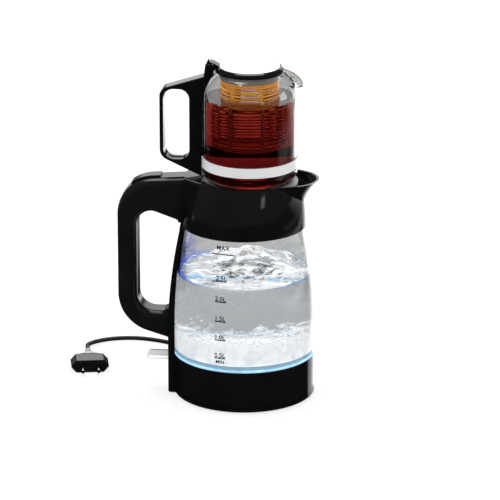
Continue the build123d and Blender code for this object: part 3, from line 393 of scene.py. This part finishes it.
# ==== Light ring ==============================================================================
# A frosted ring between housing and glass, lit pale blue from a ring of lamps on a green board. A
# clear silicone gasket seals the glass and the heater plate above it and takes some of its light;
# another seals the top of the glass.
ring_low_z, ring_high_z = 0.0510, 0.0544
ring_lit, tree, out = start_finish("ring_lit")
level = ramped(tree, axes(tree)["Z"], ring_low_z, ring_high_z)
blues = banded(tree, level, (0.0, (0.02, 0.17, 0.42)), (0.62, (0.6, 0.84, 0.98)),
               (1.0, (0.16, 0.5, 0.85)))
surfaced(tree, out, {
    "Base Color": (0.3, 0.5, 0.62, 1), "Roughness": 0.45, "Emission Color": blues,
    "Emission Strength": spread(tree, noise(tree, scale=90.0), 0.35, 0.95)})
board_green = moulded("board_green", (0.015, 0.12, 0.045), (0.03, 0.19, 0.07),
                      rough=0.35, scale=800.0, height=0.00002)
seal_dark, seal_light = (0.5, 0.51, 0.52), (0.66, 0.67, 0.68)
seal_clear = moulded("seal_clear", seal_dark, seal_light, rough=0.45, scale=900.0, height=0.00002)
seal_lit = moulded("seal_lit", seal_dark, seal_light,
                   rough=0.45, scale=900.0, height=0.00002, glow=(0.5, 0.78, 1.0), painted_glow_level=0.4)
dress(ring_lit, "light_ring")
dress(board_green, "led_board")
dress(seal_lit, "glass_seal")
dress(seal_clear, "collar_seal")

# ==== Kettle glass ============================================================================
# A blown borosilicate body: straight at the foot, then drawn in towards the collar, 3 mm thick,
# with both of its edges ground flat. Above the water its handle side is tinted with painted blue
# light.
glass_r, glass_wall = 0.0840, 0.0030
glass_foot_z, taper_z, glass_top_z, glass_top_r = 0.0544, 0.0800, 0.2160, 0.0692
taper_h, taper_d = glass_top_z - taper_z, glass_r - glass_top_r
taper_big_r = (taper_h ** 2 + taper_d ** 2) / (2 * taper_d)


def glass_reach(z):
    """Outside radius of the kettle's glass at height z."""
    h = max(0.0, z - taper_z)
    return glass_r - (taper_big_r - math.sqrt(taper_big_r ** 2 - h ** 2))


def lathe(name, rings, steps, x=0.0, shut=True):
    """A turned piece: a circle drawn up ring by ring through (radius, height) pairs."""
    bpy.ops.object.select_all(action="DESELECT")
    r, z = rings[0]
    bpy.ops.mesh.primitive_circle_add(vertices=steps, radius=r, location=(x, 0, z))
    piece = bpy.context.object
    piece.name = name
    bpy.ops.object.mode_set(mode="EDIT")
    for next_r, next_z in rings[1:]:
        bpy.ops.mesh.extrude_edges_move(TRANSFORM_OT_translate={"value": (0, 0, next_z - z)})
        bpy.ops.transform.resize(value=(next_r / r, next_r / r, 1), center_override=(x, 0, next_z))
        r, z = next_r, next_z
    if shut:
        bpy.ops.mesh.select_all(action="DESELECT")
        bpy.ops.mesh.select_non_manifold()
        bpy.ops.mesh.bridge_edge_loops()
    bpy.ops.mesh.select_all(action="SELECT")
    bpy.ops.mesh.normals_make_consistent(inside=False)
    bpy.ops.object.mode_set(mode="OBJECT")
    bpy.ops.object.transform_apply(location=True, rotation=True, scale=True)
    bpy.ops.object.shade_smooth_by_angle(angle=math.radians(40))
    return piece


def clear(name, tint, ior, wave_scale, wave_height):
    """Clear stuff that bends light: faintly tinted and faintly uneven."""
    made, tree, out = start_finish(name)
    _, bump = grain(tree, wave_scale, wave_height)
    surfaced(tree, out, {"Base Color": (*tint, 1), "Roughness": 0.0, "IOR": ior,
                         "Transmission Weight": 1.0, "Normal": bump})
    return made


curve_steps = 14
heights = [glass_foot_z] + [taper_z + taper_h * i / curve_steps for i in range(curve_steps + 1)]
rings = [(glass_reach(z), z) for z in heights]
rings += [(glass_reach(z) - glass_wall, z) for z in reversed(heights)]
kettle_wall = lathe("kettle_wall", rings, steps=128)
glass_tint, lit_tint = (0.93, 0.94, 0.945), (0.48, 0.5, 0.88)
kettle_glass = clear("kettle_glass", glass_tint, ior=1.47, wave_scale=18.0, wave_height=0.00006)
tree = kettle_glass.node_tree
along_x, _, along_z = axes(tree)
# Painted light: the glass turns blue on its handle side above the water.
cast = combined(tree, "MULTIPLY", ramped(tree, along_x, -0.0615, -0.0700),
                ramped(tree, along_z, 0.1560, 0.1680))
painted_light_tint = banded(tree, cast, (0.0, glass_tint), (1.0, lit_tint))
wired(tree, tree.nodes["Principled BSDF"], {"Base Color": painted_light_tint})
kettle_wall.data.materials.append(kettle_glass)
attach(kettle_wall, "kettle")
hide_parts("kettle_glass")

# ==== Water on the boil =======================================================================
# The kettle's filling: about 2 litres, in close contact with the glass, its surface thrown up by
# the boil.
water_low_z, water_top_z = 0.0540, 0.1515
touch, water_steps = 0.0003, 8
heave_x, heave_y, heave_tall, heave_wide = 0.004, 0.028, 0.018, 0.030
wave_tall, calm_edge = 0.012, 0.012
hair = 1e-5
churn = bpy.data.textures.new("churn", "CLOUDS")
churn.noise_scale = 0.022
churn.noise_depth = 2


def heaved(x, y):
    """Rise of the surface where the boil heaves it up."""
    return heave_tall * math.exp(-((x - heave_x) ** 2 + (y - heave_y) ** 2) / heave_wide ** 2)


def churned(piece, group=""):
    """Throw the top of a piece into the waves of the boil."""
    waves = piece.modifiers.new("waves", "DISPLACE")
    waves.texture = churn
    waves.texture_coords = "LOCAL"
    waves.vertex_group = group
    waves.direction = "Z"
    waves.mid_level = 0.5
    waves.strength = wave_tall
    bpy.context.view_layer.objects.active = piece
    bpy.ops.object.modifier_apply(modifier="waves")


water_heights = [water_low_z, 0.060, 0.070]
water_heights += [taper_z + (water_top_z - taper_z) * i / water_steps for i in range(water_steps + 1)]
water_rings = [(glass_reach(z) - glass_wall + touch, z) for z in water_heights]
water = lathe("water", water_rings, steps=128, shut=False)
# Close both ends with a grid, fine enough at the top to carry the waves.
bpy.ops.object.mode_set(mode="EDIT")
for end_z in (water_low_z, water_top_z):
    bpy.ops.mesh.select_mode(type="EDGE")
    bpy.ops.mesh.select_all(action="DESELECT")
    bpy.ops.object.mode_set(mode="OBJECT")
    for edge in water.data.edges:
        edge.select = all(abs(water.data.vertices[v].co.z - end_z) < hair for v in edge.vertices)
    bpy.ops.object.mode_set(mode="EDIT")
    bpy.ops.mesh.fill_grid(span=32)
bpy.ops.mesh.subdivide(number_cuts=2)
bpy.ops.mesh.select_all(action="SELECT")
bpy.ops.mesh.normals_make_consistent(inside=False)
bpy.ops.object.mode_set(mode="OBJECT")
surface = water.vertex_groups.new(name="surface")
rim_reach = glass_reach(water_top_z) - glass_wall
for corner in water.data.vertices:
    if abs(corner.co.z - water_top_z) < hair:
        out_by = math.hypot(corner.co.x, corner.co.y)
        surface.add([corner.index], min(1.0, (rim_reach + touch - out_by) / calm_edge), "REPLACE")
        corner.co.z += heaved(corner.co.x, corner.co.y)
churned(water, "surface")
bpy.ops.object.shade_smooth_by_angle(angle=math.radians(40))
boiling_water = clear("boiling_water", (0.955, 0.965, 0.97),
                      ior=1.33, wave_scale=60.0, wave_height=0.0001)
water.data.materials.append(boiling_water)
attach(water, "kettle")

# ==== Steam bubbles and foam ==================================================================
# The boil itself: a thick curtain of steam foam over the heater plate, loose bubbles that rise out
# of it, and patches of foam on the surface, all of them glowing with painted light.


def lacy(tree, out, cover, shader):
    """Show a shader as far as its cover goes, and leave the rest see-through."""
    nothing = step(tree, "ShaderNodeBsdfTransparent", {})
    mixed = step(tree, "ShaderNodeMixShader", {"Fac": cover, 1: nothing, 2: shader})
    wired(tree, out, {"Surface": mixed})


def foam(name, full_z, clear_z, far_drop, scale, painted_glow_level):
    """White foam with painted light, breaking up between two heights, and lower down where seen from
    inside.
    """
    made, tree, out = start_finish(name)
    froth = noise(tree, scale, detail=6.0, rough=0.6)
    above = combined(tree, "SUBTRACT", axes(tree)["Z"], clear_z)
    inside = step(tree, "ShaderNodeNewGeometry", {}, "Backfacing")
    level = combined(tree, "ADD", combined(tree, "DIVIDE", above, full_z - clear_z),
                     ramped(tree, froth, 0.0, 1.0, 1.2, -1.2),
                     combined(tree, "MULTIPLY", inside, -far_drop))
    # Painted light: the foam glows in its own white tones.
    shader = step(tree, "ShaderNodeBsdfPrincipled", {
        "Base Color": toned(tree, froth, (0.62, 0.64, 0.66), (0.93, 0.94, 0.95)), "Roughness": 0.5,
        "Emission Color": toned(tree, froth, (0.72, 0.74, 0.77), (1.0, 1.0, 1.0)),
        "Emission Strength": painted_glow_level})
    lacy(tree, out, ramped(tree, level, 0.15, 0.75), shader)
    return made


def joined(pieces):
    """Join loose pieces into the first of them, with their places in its mesh."""
    bpy.ops.object.select_all(action="DESELECT")
    for piece in pieces:
        piece.select_set(True)
    bpy.context.view_layer.objects.active = pieces[0]
    bpy.ops.object.join()
    bpy.ops.object.transform_apply(location=True, rotation=True, scale=True)
    return pieces[0]


curtain_r, curtain_low_z, curtain_high_z = 0.0792, 0.0570, 0.1120
curtain_rings = [(0.006, curtain_low_z), (0.030, curtain_low_z), (0.056, curtain_low_z),
                 (curtain_r, curtain_low_z), (curtain_r, 0.070), (curtain_r - 0.0002, 0.085),
                 (curtain_r - 0.0007, 0.098), (curtain_r - 0.0018, curtain_high_z)]
curtain = lathe("foam_curtain", curtain_rings, steps=96, shut=False)
curtain.data.materials.append(foam("foam_curtain", full_z=0.075, clear_z=0.094, far_drop=1.55,
                                   scale=110.0, painted_glow_level=0.95))
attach(curtain, "kettle")

bubble_count, bubble_r = 560, 0.001
bubble_low_z, near_rise, far_rise = 0.061, 0.034, 0.010
bubble_reach, glass_clearance = 0.0785, 0.0015
bubble_random = random.Random(4)
bpy.ops.mesh.primitive_ico_sphere_add(subdivisions=2, radius=bubble_r, location=(0, 0, 0))
first_bubble = bpy.context.object
first_bubble.name = "steam_bubbles"
bpy.ops.object.shade_smooth()
bubbles = [first_bubble]
for _ in range(bubble_count - 1):
    bubble = first_bubble.copy()
    bubble.data = first_bubble.data.copy()
    scene.collection.objects.link(bubble)
    bubbles.append(bubble)
for bubble in bubbles:
    reach = bubble_reach * math.sqrt(bubble_random.uniform(0.25, 1.0)) - glass_clearance
    angle = bubble_random.uniform(-math.pi, math.pi / 2)
    lift = bubble_random.random() ** 2.2
    rise = near_rise if angle < 0 else far_rise
    bubble.location = (reach * math.cos(angle), reach * math.sin(angle), bubble_low_z + rise * lift)
    size = bubble_random.uniform(0.45, 1.5)
    bubble.scale = (size, size, size * bubble_random.uniform(0.7, 1.0))
joined(bubbles)
steam, tree, out = start_finish("steam_bubbles")
relief, bump = grain(tree, scale=500.0, height=0.00002)
# Painted light: the bubbles glow faintly pale blue.
surfaced(tree, out, {
    "Base Color": toned(tree, relief, (0.7, 0.72, 0.74), (0.97, 0.98, 1.0)), "Roughness": 0.1,
    "Transmission Weight": 0.5, "IOR": 1.2, "Emission Color": (0.9, 0.95, 1.0, 1),
    "Emission Strength": 0.3, "Normal": bump})
first_bubble.data.materials.append(steam)
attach(first_bubble, "kettle")

froth_z, froth_r = water_top_z + 0.0006, rim_reach - 0.0012
bpy.ops.object.select_all(action="DESELECT")
bpy.ops.mesh.primitive_circle_add(vertices=96, radius=froth_r, location=(0, 0, froth_z),
                                  fill_type="NOTHING")
froth = bpy.context.object
froth.name = "surface_foam"
bpy.ops.object.mode_set(mode="EDIT")
bpy.ops.mesh.fill_grid(span=24)
bpy.ops.mesh.subdivide(number_cuts=2)
bpy.ops.object.mode_set(mode="OBJECT")
bpy.ops.object.transform_apply(location=True, rotation=True, scale=True)
for corner in froth.data.vertices:
    corner.co.z += heaved(corner.co.x, corner.co.y)
churned(froth)
bpy.ops.object.shade_smooth()
surface_foam, tree, out = start_finish("surface_foam")
lace = noise(tree, scale=34.0, stretch=(1.0, 1.7, 1.0), detail=7.0, rough=0.62, warp=1.4)
clearings = spread(tree, noise(tree, scale=27.0), -0.14, 0.12)
across = ramped(tree, axes(tree)["Y"], -rim_reach, rim_reach)
# Painted light: the foam glows white, with a blue line of painted light across it.
painted_blue_light_line = banded(tree, across, (0.20, (1, 1, 1)), (0.26, (0.3, 0.6, 0.95)), (0.32, (1, 1, 1)))
shader = step(tree, "ShaderNodeBsdfPrincipled", {
    "Base Color": toned(tree, lace, (0.3, 0.32, 0.34), (0.97, 0.98, 1.0)), "Roughness": 0.3,
    "Emission Color": painted_blue_light_line, "Emission Strength": spread(tree, lace, 0.15, 1.3)})
lacy(tree, out, ramped(tree, combined(tree, "ADD", lace, clearings), 0.455, 0.515), shader)
froth.data.materials.append(surface_foam)
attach(froth, "kettle")

# The lit edge of the water against the glass, tallest on the handle side.
rim_in = 0.0004
rim_rings = [(glass_reach(water_top_z + lift) - glass_wall - rim_in, water_top_z + lift)
             for lift in (-0.0022, 0.0012, 0.0050, 0.0090, 0.0130)]
water_rim = lathe("water_rim", rim_rings, steps=96, shut=False)
rim_blue, tree, out = start_finish("rim_blue")
along_x, _, along_z = axes(tree)
hue = banded(tree, ramped(tree, along_x, -rim_reach, rim_reach), (0.05, (0.06, 0.14, 0.8)),
             (0.15, (0.25, 0.46, 0.95)), (0.3, (0.85, 0.9, 0.95)), (0.72, (0.85, 0.92, 0.97)),
             (0.95, (0.25, 0.48, 0.8)))
drift, bump = grain(tree, scale=55.0, height=0.00005)
shader = step(tree, "ShaderNodeBsdfPrincipled", {"Base Color": hue, "Roughness": 0.2, "Normal": bump,
                                                 "Emission Color": hue, "Emission Strength": 0.55})
tall = ramped(tree, along_x, -0.054, -0.066, 0.0130, 0.0016)
fade = ramped(tree, combined(tree, "SUBTRACT", along_z, water_top_z), tall, -0.0004)
lacy(tree, out, combined(tree, "MULTIPLY", fade, spread(tree, drift, 0.2, 1.2)), shader)
water_rim.data.materials.append(rim_blue)
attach(water_rim, "kettle")

# ==== Printed scale ===========================================================================
# The litre marks, screen-printed in black on the outside of the glass beside the handle side: a
# number over a bar for each half litre, and the fill marks at the bottom and top.
scale_angle = math.radians(-103.0)
ink_black = moulded("ink_black", (0.006, 0.006, 0.007), (0.014, 0.014, 0.015),
                    rough=0.4, scale=1500.0, height=0.00001)
marks = [("0.5L", 0.0714, 0.0052), ("1.0L", 0.0937, 0.0052), ("1.5L", 0.1166, 0.0052),
         ("2.0L", 0.1401, 0.0052), ("2.5L", 0.1647, 0.0052), ("MAX", 0.2000, 0.0050),
         ("MIN", 0.0632, 0.0040)]
bars = [(0.0680, 0.014), (0.0903, 0.014), (0.1132, 0.014), (0.1367, 0.014), (0.1613, 0.014),
        (0.1930, 0.028)]
bar_thick, bar_pieces = 0.0013, 12
letter_size, letter_bold, letter_gap = 1.45, 0.00018, 1.05
print_gap, ink_thick = 0.001, 0.00012
face_turn = (math.pi / 2, 0, scale_angle + math.pi / 2)


def beside_handle(z):
    """A place just off the glass on the scale's line, at height z."""
    reach = glass_reach(z) + print_gap
    return reach * math.cos(scale_angle), reach * math.sin(scale_angle), z


printed = []
for words, z, tall in marks:
    bpy.ops.object.text_add(location=beside_handle(z), rotation=face_turn)
    text = bpy.context.object
    text.data.body = words
    text.data.size = tall * letter_size
    text.data.align_x = "CENTER"
    text.data.align_y = "CENTER"
    text.data.space_character = letter_gap
    text.data.offset = letter_bold
    bpy.ops.object.convert(target="MESH")
    printed.append(bpy.context.object)
for z, wide in bars:
    bpy.ops.mesh.primitive_plane_add(size=1.0, rotation=face_turn, location=beside_handle(z))
    bar = bpy.context.object
    bar.scale = (wide, bar_thick, 1)
    bpy.ops.object.mode_set(mode="EDIT")
    bpy.ops.mesh.subdivide(number_cuts=bar_pieces - 1)
    bpy.ops.object.mode_set(mode="OBJECT")
    printed.append(bar)
printed_scale = joined(printed)
printed_scale.name = "printed_scale"
wrap = printed_scale.modifiers.new("wrap", "SHRINKWRAP")
wrap.target = kettle_wall
wrap.wrap_method = "NEAREST_SURFACEPOINT"
wrap.wrap_mode = "ABOVE_SURFACE"
wrap.offset = ink_thick
bpy.ops.object.modifier_apply(modifier="wrap")
printed_scale.data.materials.clear()
printed_scale.data.materials.append(ink_black)
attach(printed_scale, "kettle")

# ==== Collar, spine and handle ================================================================
# The black dome that holds the teapot and pours, the spine clipped down the back of the glass, and
# the hollow grip screwed to it in two shells with a cap over its top corner.
seat_grey = moulded("seat_grey", (0.42, 0.43, 0.44), (0.52, 0.53, 0.54),
                    rough=0.4, scale=1600.0, height=0.00001)
grip_black = moulded("grip_black", (0.006, 0.006, 0.0063), (0.0085, 0.0085, 0.009),
                     rough=0.2, scale=1900.0, height=0.000004)
dress(black_gloss, "collar", "handle_spine")
dress(grip_black, "handle_back_shell", "handle_front_shell", "handle_top_cover")
dress(seat_grey, "seat_ring")
dress(zinc_steel, "handle_screws")

# ==== Teapot ==================================================================================
# A blown glass jug with a small beak, held at its foot by a stainless band; the black handle is
# screwed to the band and carries the hinge of the lid.
pot_x, pot_r, pot_wall = 0.0067, 0.0553, 0.0017
pot_foot_z, pot_mouth_z, pot_mouth_r = 0.2620, 0.3942, 0.0384
straight_low_z, straight_high_z, straight_steps = 0.2808, 0.3620, 12
foot_rings = [(0.0470, pot_foot_z), (0.04946, 0.26375), (0.05155, 0.26593), (0.05324, 0.26844),
              (0.05455, 0.27116), (0.0555, 0.27403), (0.05611, 0.27699), (0.0564, 0.2800),
              (pot_r, straight_low_z)]
neck_rings = [(0.05515, 0.36477), (0.05473, 0.36752), (0.05408, 0.37022), (0.05325, 0.37287),
              (0.05227, 0.37547), (0.05112, 0.3780), (0.0498, 0.38044), (0.04832, 0.38279),
              (0.04672, 0.38506), (0.04499, 0.38723), (0.04313, 0.3893), (0.04113, 0.39122),
              (0.0390, 0.39301), (pot_mouth_r, pot_mouth_z)]
inner_low = [(0.0453, 0.2637), (0.0479, 0.2652), (0.05024, 0.26702), (0.0521, 0.2701),
             (0.05359, 0.27355), (0.0536, straight_low_z)]
inner_high = [(0.05346, 0.36462), (0.05306, 0.36722), (0.05244, 0.36977), (0.05165, 0.37228),
              (0.05071, 0.37474), (0.04964, 0.37713), (0.04842, 0.37946), (0.04704, 0.3817),
              (0.04552, 0.38385), (0.04388, 0.3859), (0.0403, 0.3896), (0.0367, 0.3927),
              (0.0367, 0.4142)]


def straight(r, low_z, high_z):
    """Even rings up a straight wall."""
    return [(r, low_z + (high_z - low_z) * i / straight_steps) for i in range(1, straight_steps + 1)]


def plug_ends(piece):
    """Close the open ends of a turned piece."""
    bpy.context.view_layer.objects.active = piece
    bpy.ops.object.mode_set(mode="EDIT")
    bpy.ops.mesh.select_all(action="DESELECT")
    bpy.ops.mesh.select_non_manifold()
    bpy.ops.mesh.fill_holes(sides=0)
    bpy.ops.mesh.select_all(action="SELECT")
    bpy.ops.mesh.normals_make_consistent(inside=False)
    bpy.ops.object.mode_set(mode="OBJECT")
    return piece


def join_or_cut(piece, other, how):
    """Join a closed shape to the piece or cut it away; the second shape is used up."""
    seam = piece.modifiers.new("seam", "BOOLEAN")
    seam.object = other
    seam.operation = how
    seam.solver = "EXACT"
    bpy.ops.object.select_all(action="DESELECT")
    bpy.context.view_layer.objects.active = piece
    bpy.ops.object.modifier_apply(modifier="seam")
    bpy.data.objects.remove(other)


# The beak at the neck, halfway and at its tip: how far out, how high, half its width, half its height.
beak_neck = (0.0300, 0.3900, 0.0210, 0.0150)
beak_middle = (0.0490, 0.3858, 0.0140, 0.0103)
beak_tip = (0.0619, 0.3806, 0.0036, 0.0032)
beak_steps, beak_thinnest = 7, 0.0008


def beak_wedge(name, inset):
    """Wedge of the beak: flattened rings that shrink from the neck out to the tip."""
    tip = (beak_tip[0] + inset, *beak_tip[1:])
    stations = []
    for i in range(beak_steps + 1):
        t = i / beak_steps
        near, mid, far = (1 - t) * (1 - 2 * t), 4 * t * (1 - t), t * (2 * t - 1)
        reach, z, wide, tall = (near * a + mid * b + far * c
                                for a, b, c in zip(beak_neck, beak_middle, tip))
        shrink = min(inset, tall - beak_thinnest)
        stations.append((pot_x + reach, z, wide - shrink, tall - shrink))
    bpy.ops.object.select_all(action="DESELECT")
    x, z, wide, tall = stations[0]
    bpy.ops.mesh.primitive_circle_add(vertices=64, radius=1.0, location=(x, 0, z),
                                      rotation=(0, math.pi / 2, 0))
    wedge = bpy.context.object
    wedge.name = name
    bpy.ops.object.transform_apply(location=True, rotation=True, scale=True)
    bpy.ops.object.mode_set(mode="EDIT")
    bpy.ops.transform.resize(value=(1, wide, tall), center_override=(x, 0, z))
    for next_x, next_z, next_wide, next_tall in stations[1:]:
        bpy.ops.mesh.extrude_edges_move(TRANSFORM_OT_translate={"value": (next_x - x, 0, next_z - z)})
        bpy.ops.transform.resize(value=(1, next_wide / wide, next_tall / tall),
                                 center_override=(next_x, 0, next_z))
        x, z, wide, tall = next_x, next_z, next_wide, next_tall
    bpy.ops.object.mode_set(mode="OBJECT")
    return plug_ends(wedge)


outer_rings = foot_rings + straight(pot_r, straight_low_z, straight_high_z) + neck_rings
inner_rings = inner_low + straight(pot_r - pot_wall, straight_low_z, straight_high_z) + inner_high
teapot_wall = plug_ends(lathe("teapot_wall", outer_rings, steps=128, x=pot_x, shut=False))
hollow = plug_ends(lathe("hollow", inner_rings, steps=128, x=pot_x, shut=False))
poured = beak_wedge("poured", 0.0)
# The beak is cut off flat along its pouring edge, ring by ring.
pouring_edge = [(0.0200, 0.3942), (0.0400, 0.3942), (0.0500, 0.3920), (0.0575, 0.3874),
                (0.0627, 0.3806)]
for reach in sorted({round(corner.co.x, 5) for corner in poured.data.vertices}):
    run = [pair for pair in zip(pouring_edge, pouring_edge[1:]) if pair[0][0] <= reach - pot_x]
    (low_x, low_z), (high_x, high_z) = run[-1]
    edge_z = low_z + (high_z - low_z) * (reach - pot_x - low_x) / (high_x - low_x)
    for corner in poured.data.vertices:
        corner.select = abs(corner.co.x - reach) < 2 * hair and corner.co.z > edge_z
    for other in list(poured.data.edges) + list(poured.data.polygons):
        other.select = False
    bpy.context.view_layer.objects.active = poured
    bpy.ops.object.mode_set(mode="EDIT")
    bpy.ops.mesh.select_mode(type="VERT")
    bpy.ops.transform.resize(value=(1, 1, 0), center_override=(0, 0, edge_z))
    bpy.ops.object.mode_set(mode="OBJECT")
join_or_cut(teapot_wall, poured, "UNION")
join_or_cut(teapot_wall, hollow, "DIFFERENCE")
join_or_cut(teapot_wall, beak_wedge("channel", pot_wall), "DIFFERENCE")
teapot_wall.select_set(True)
bpy.ops.object.shade_smooth_by_angle(angle=math.radians(40))
teapot_glass = clear("teapot_glass", (0.95, 0.96, 0.96), ior=1.47, wave_scale=22.0, wave_height=0.00005)
teapot_wall.data.materials.clear()
teapot_wall.data.materials.append(teapot_glass)
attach(teapot_wall, "teapot")
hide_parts("teapot_glass")
band_steel = brushed("band_steel", (0.86, 0.86, 0.87), (0.99, 0.99, 1.0),
                     rough=0.34, stretch=(14, 14, 3200), metal=0.1)
dress(band_steel, "teapot_band")
dress(black_gloss, "teapot_handle")
dress(zinc_steel, "teapot_screw")
dress(pin_steel, "hinge_pin")

# ==== Tea =====================================================================================
# A strong black tea up to the shoulder of the pot: nearly opaque red in its depth, with painted
# shade that darkens it towards the foot, and amber at its top.
tea_gap, tea_lift, tea_straight_z, tea_top_z = 0.0009, 0.0005, 0.2750, 0.3640
tea_edge_r, tea_edge_z = 0.0006, 0.0012
tea_rings = [(r - tea_gap, z + tea_lift) for r, z in inner_low[:-1]]
tea_rings += straight(pot_r - pot_wall - tea_gap, tea_straight_z, tea_top_z - tea_edge_z)
tea_rings += [(pot_r - pot_wall - tea_gap - tea_edge_r, tea_top_z)]
tea = plug_ends(lathe("tea", tea_rings, steps=96, x=pot_x, shut=False))
bpy.ops.object.shade_smooth_by_angle(angle=math.radians(40))
tea_red, tree, out = start_finish("tea_red")
_, bump = grain(tree, scale=40.0, height=0.00005)
level = ramped(tree, axes(tree)["Z"], 0.2640, tea_top_z)
# The tea's red, with painted shade that darkens it towards the foot.
brew_with_painted_shade = banded(tree, level, (0.12, (0.18, 0.035, 0.035)), (0.36, (0.38, 0.075, 0.08)),
              (0.48, (0.7, 0.16, 0.17)), (0.85, (0.77, 0.19, 0.17)), (1.0, (1.0, 0.5, 0.2)))
surfaced(tree, out, {"Base Color": brew_with_painted_shade, "Roughness": 0.0, "IOR": 1.33,
                     "Transmission Weight": 1.0, "Normal": bump})
depth = step(tree, "ShaderNodeVolumeAbsorption", {"Color": (0.9, 0.16, 0.12, 1), "Density": 18.0})
wired(tree, out, {"Volume": depth})
tea.data.materials.append(tea_red)
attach(tea, "teapot")

# ==== Infuser =================================================================================
# A pressed stainless basket with rows of fine slots between upright ribs, hung by its rim in the
# mouth of the pot. It is amber above the tea's level and dark red below, and painted light glows
# on it above the tea.
basket_steel, tree, out = start_finish("basket_steel")
along_z = axes(tree)["Z"]
rows = tree.nodes.new("ShaderNodeTexWave")
rows.bands_direction = "Z"
own = step(tree, "ShaderNodeTexCoord", {}, "Object")
slots = wired(tree, rows, {"Vector": own, "Scale": 150.0, "Distortion": 0.4})["Fac"]
above_tea_tone = toned(tree, slots, (0.55, 0.14, 0.01), (1.0, 0.52, 0.08))
below_tea_tone = toned(tree, slots, (0.1, 0.04, 0.03), (0.95, 0.6, 0.42))
over_tea = ramped(tree, along_z, 0.3600, 0.3680)
# Painted light: the part above the tea glows in its amber tones.
surfaced(tree, out, {
    "Base Color": tinted(tree, over_tea, below_tea_tone, above_tea_tone), "Metallic": 0.05, "Roughness": 0.32,
    "Emission Color": above_tea_tone, "Emission Strength": ramped(tree, along_z, 0.3550, 0.3720, 0.4),
    "Normal": step(tree, "ShaderNodeBump", {"Height": slots, "Distance": 0.0003})})
rim_steel = brushed("rim_steel", (0.66, 0.65, 0.63), (0.84, 0.83, 0.81),
                    rough=0.26, stretch=(20, 20, 1500), metal=0.15)
dress(basket_steel, "infuser_basket")
dress(rim_steel, "infuser_rim")

# ==== Lid =====================================================================================
# A black moulded rim with a thumb tab, hinged on the handle by its steel pin, and a polished pale
# disc set in it.
lid_white, tree, out = start_finish("lid_white")
relief, bump = grain(tree, scale=60.0, height=0.00001)
surfaced(tree, out, {
    "Base Color": toned(tree, relief, (0.86, 0.87, 0.88), (0.93, 0.93, 0.94)),
    "Roughness": spread(tree, relief, 0.08, 0.14), "Normal": bump})
dress(black_gloss, "lid_ring")
dress(lid_white, "lid_disc")
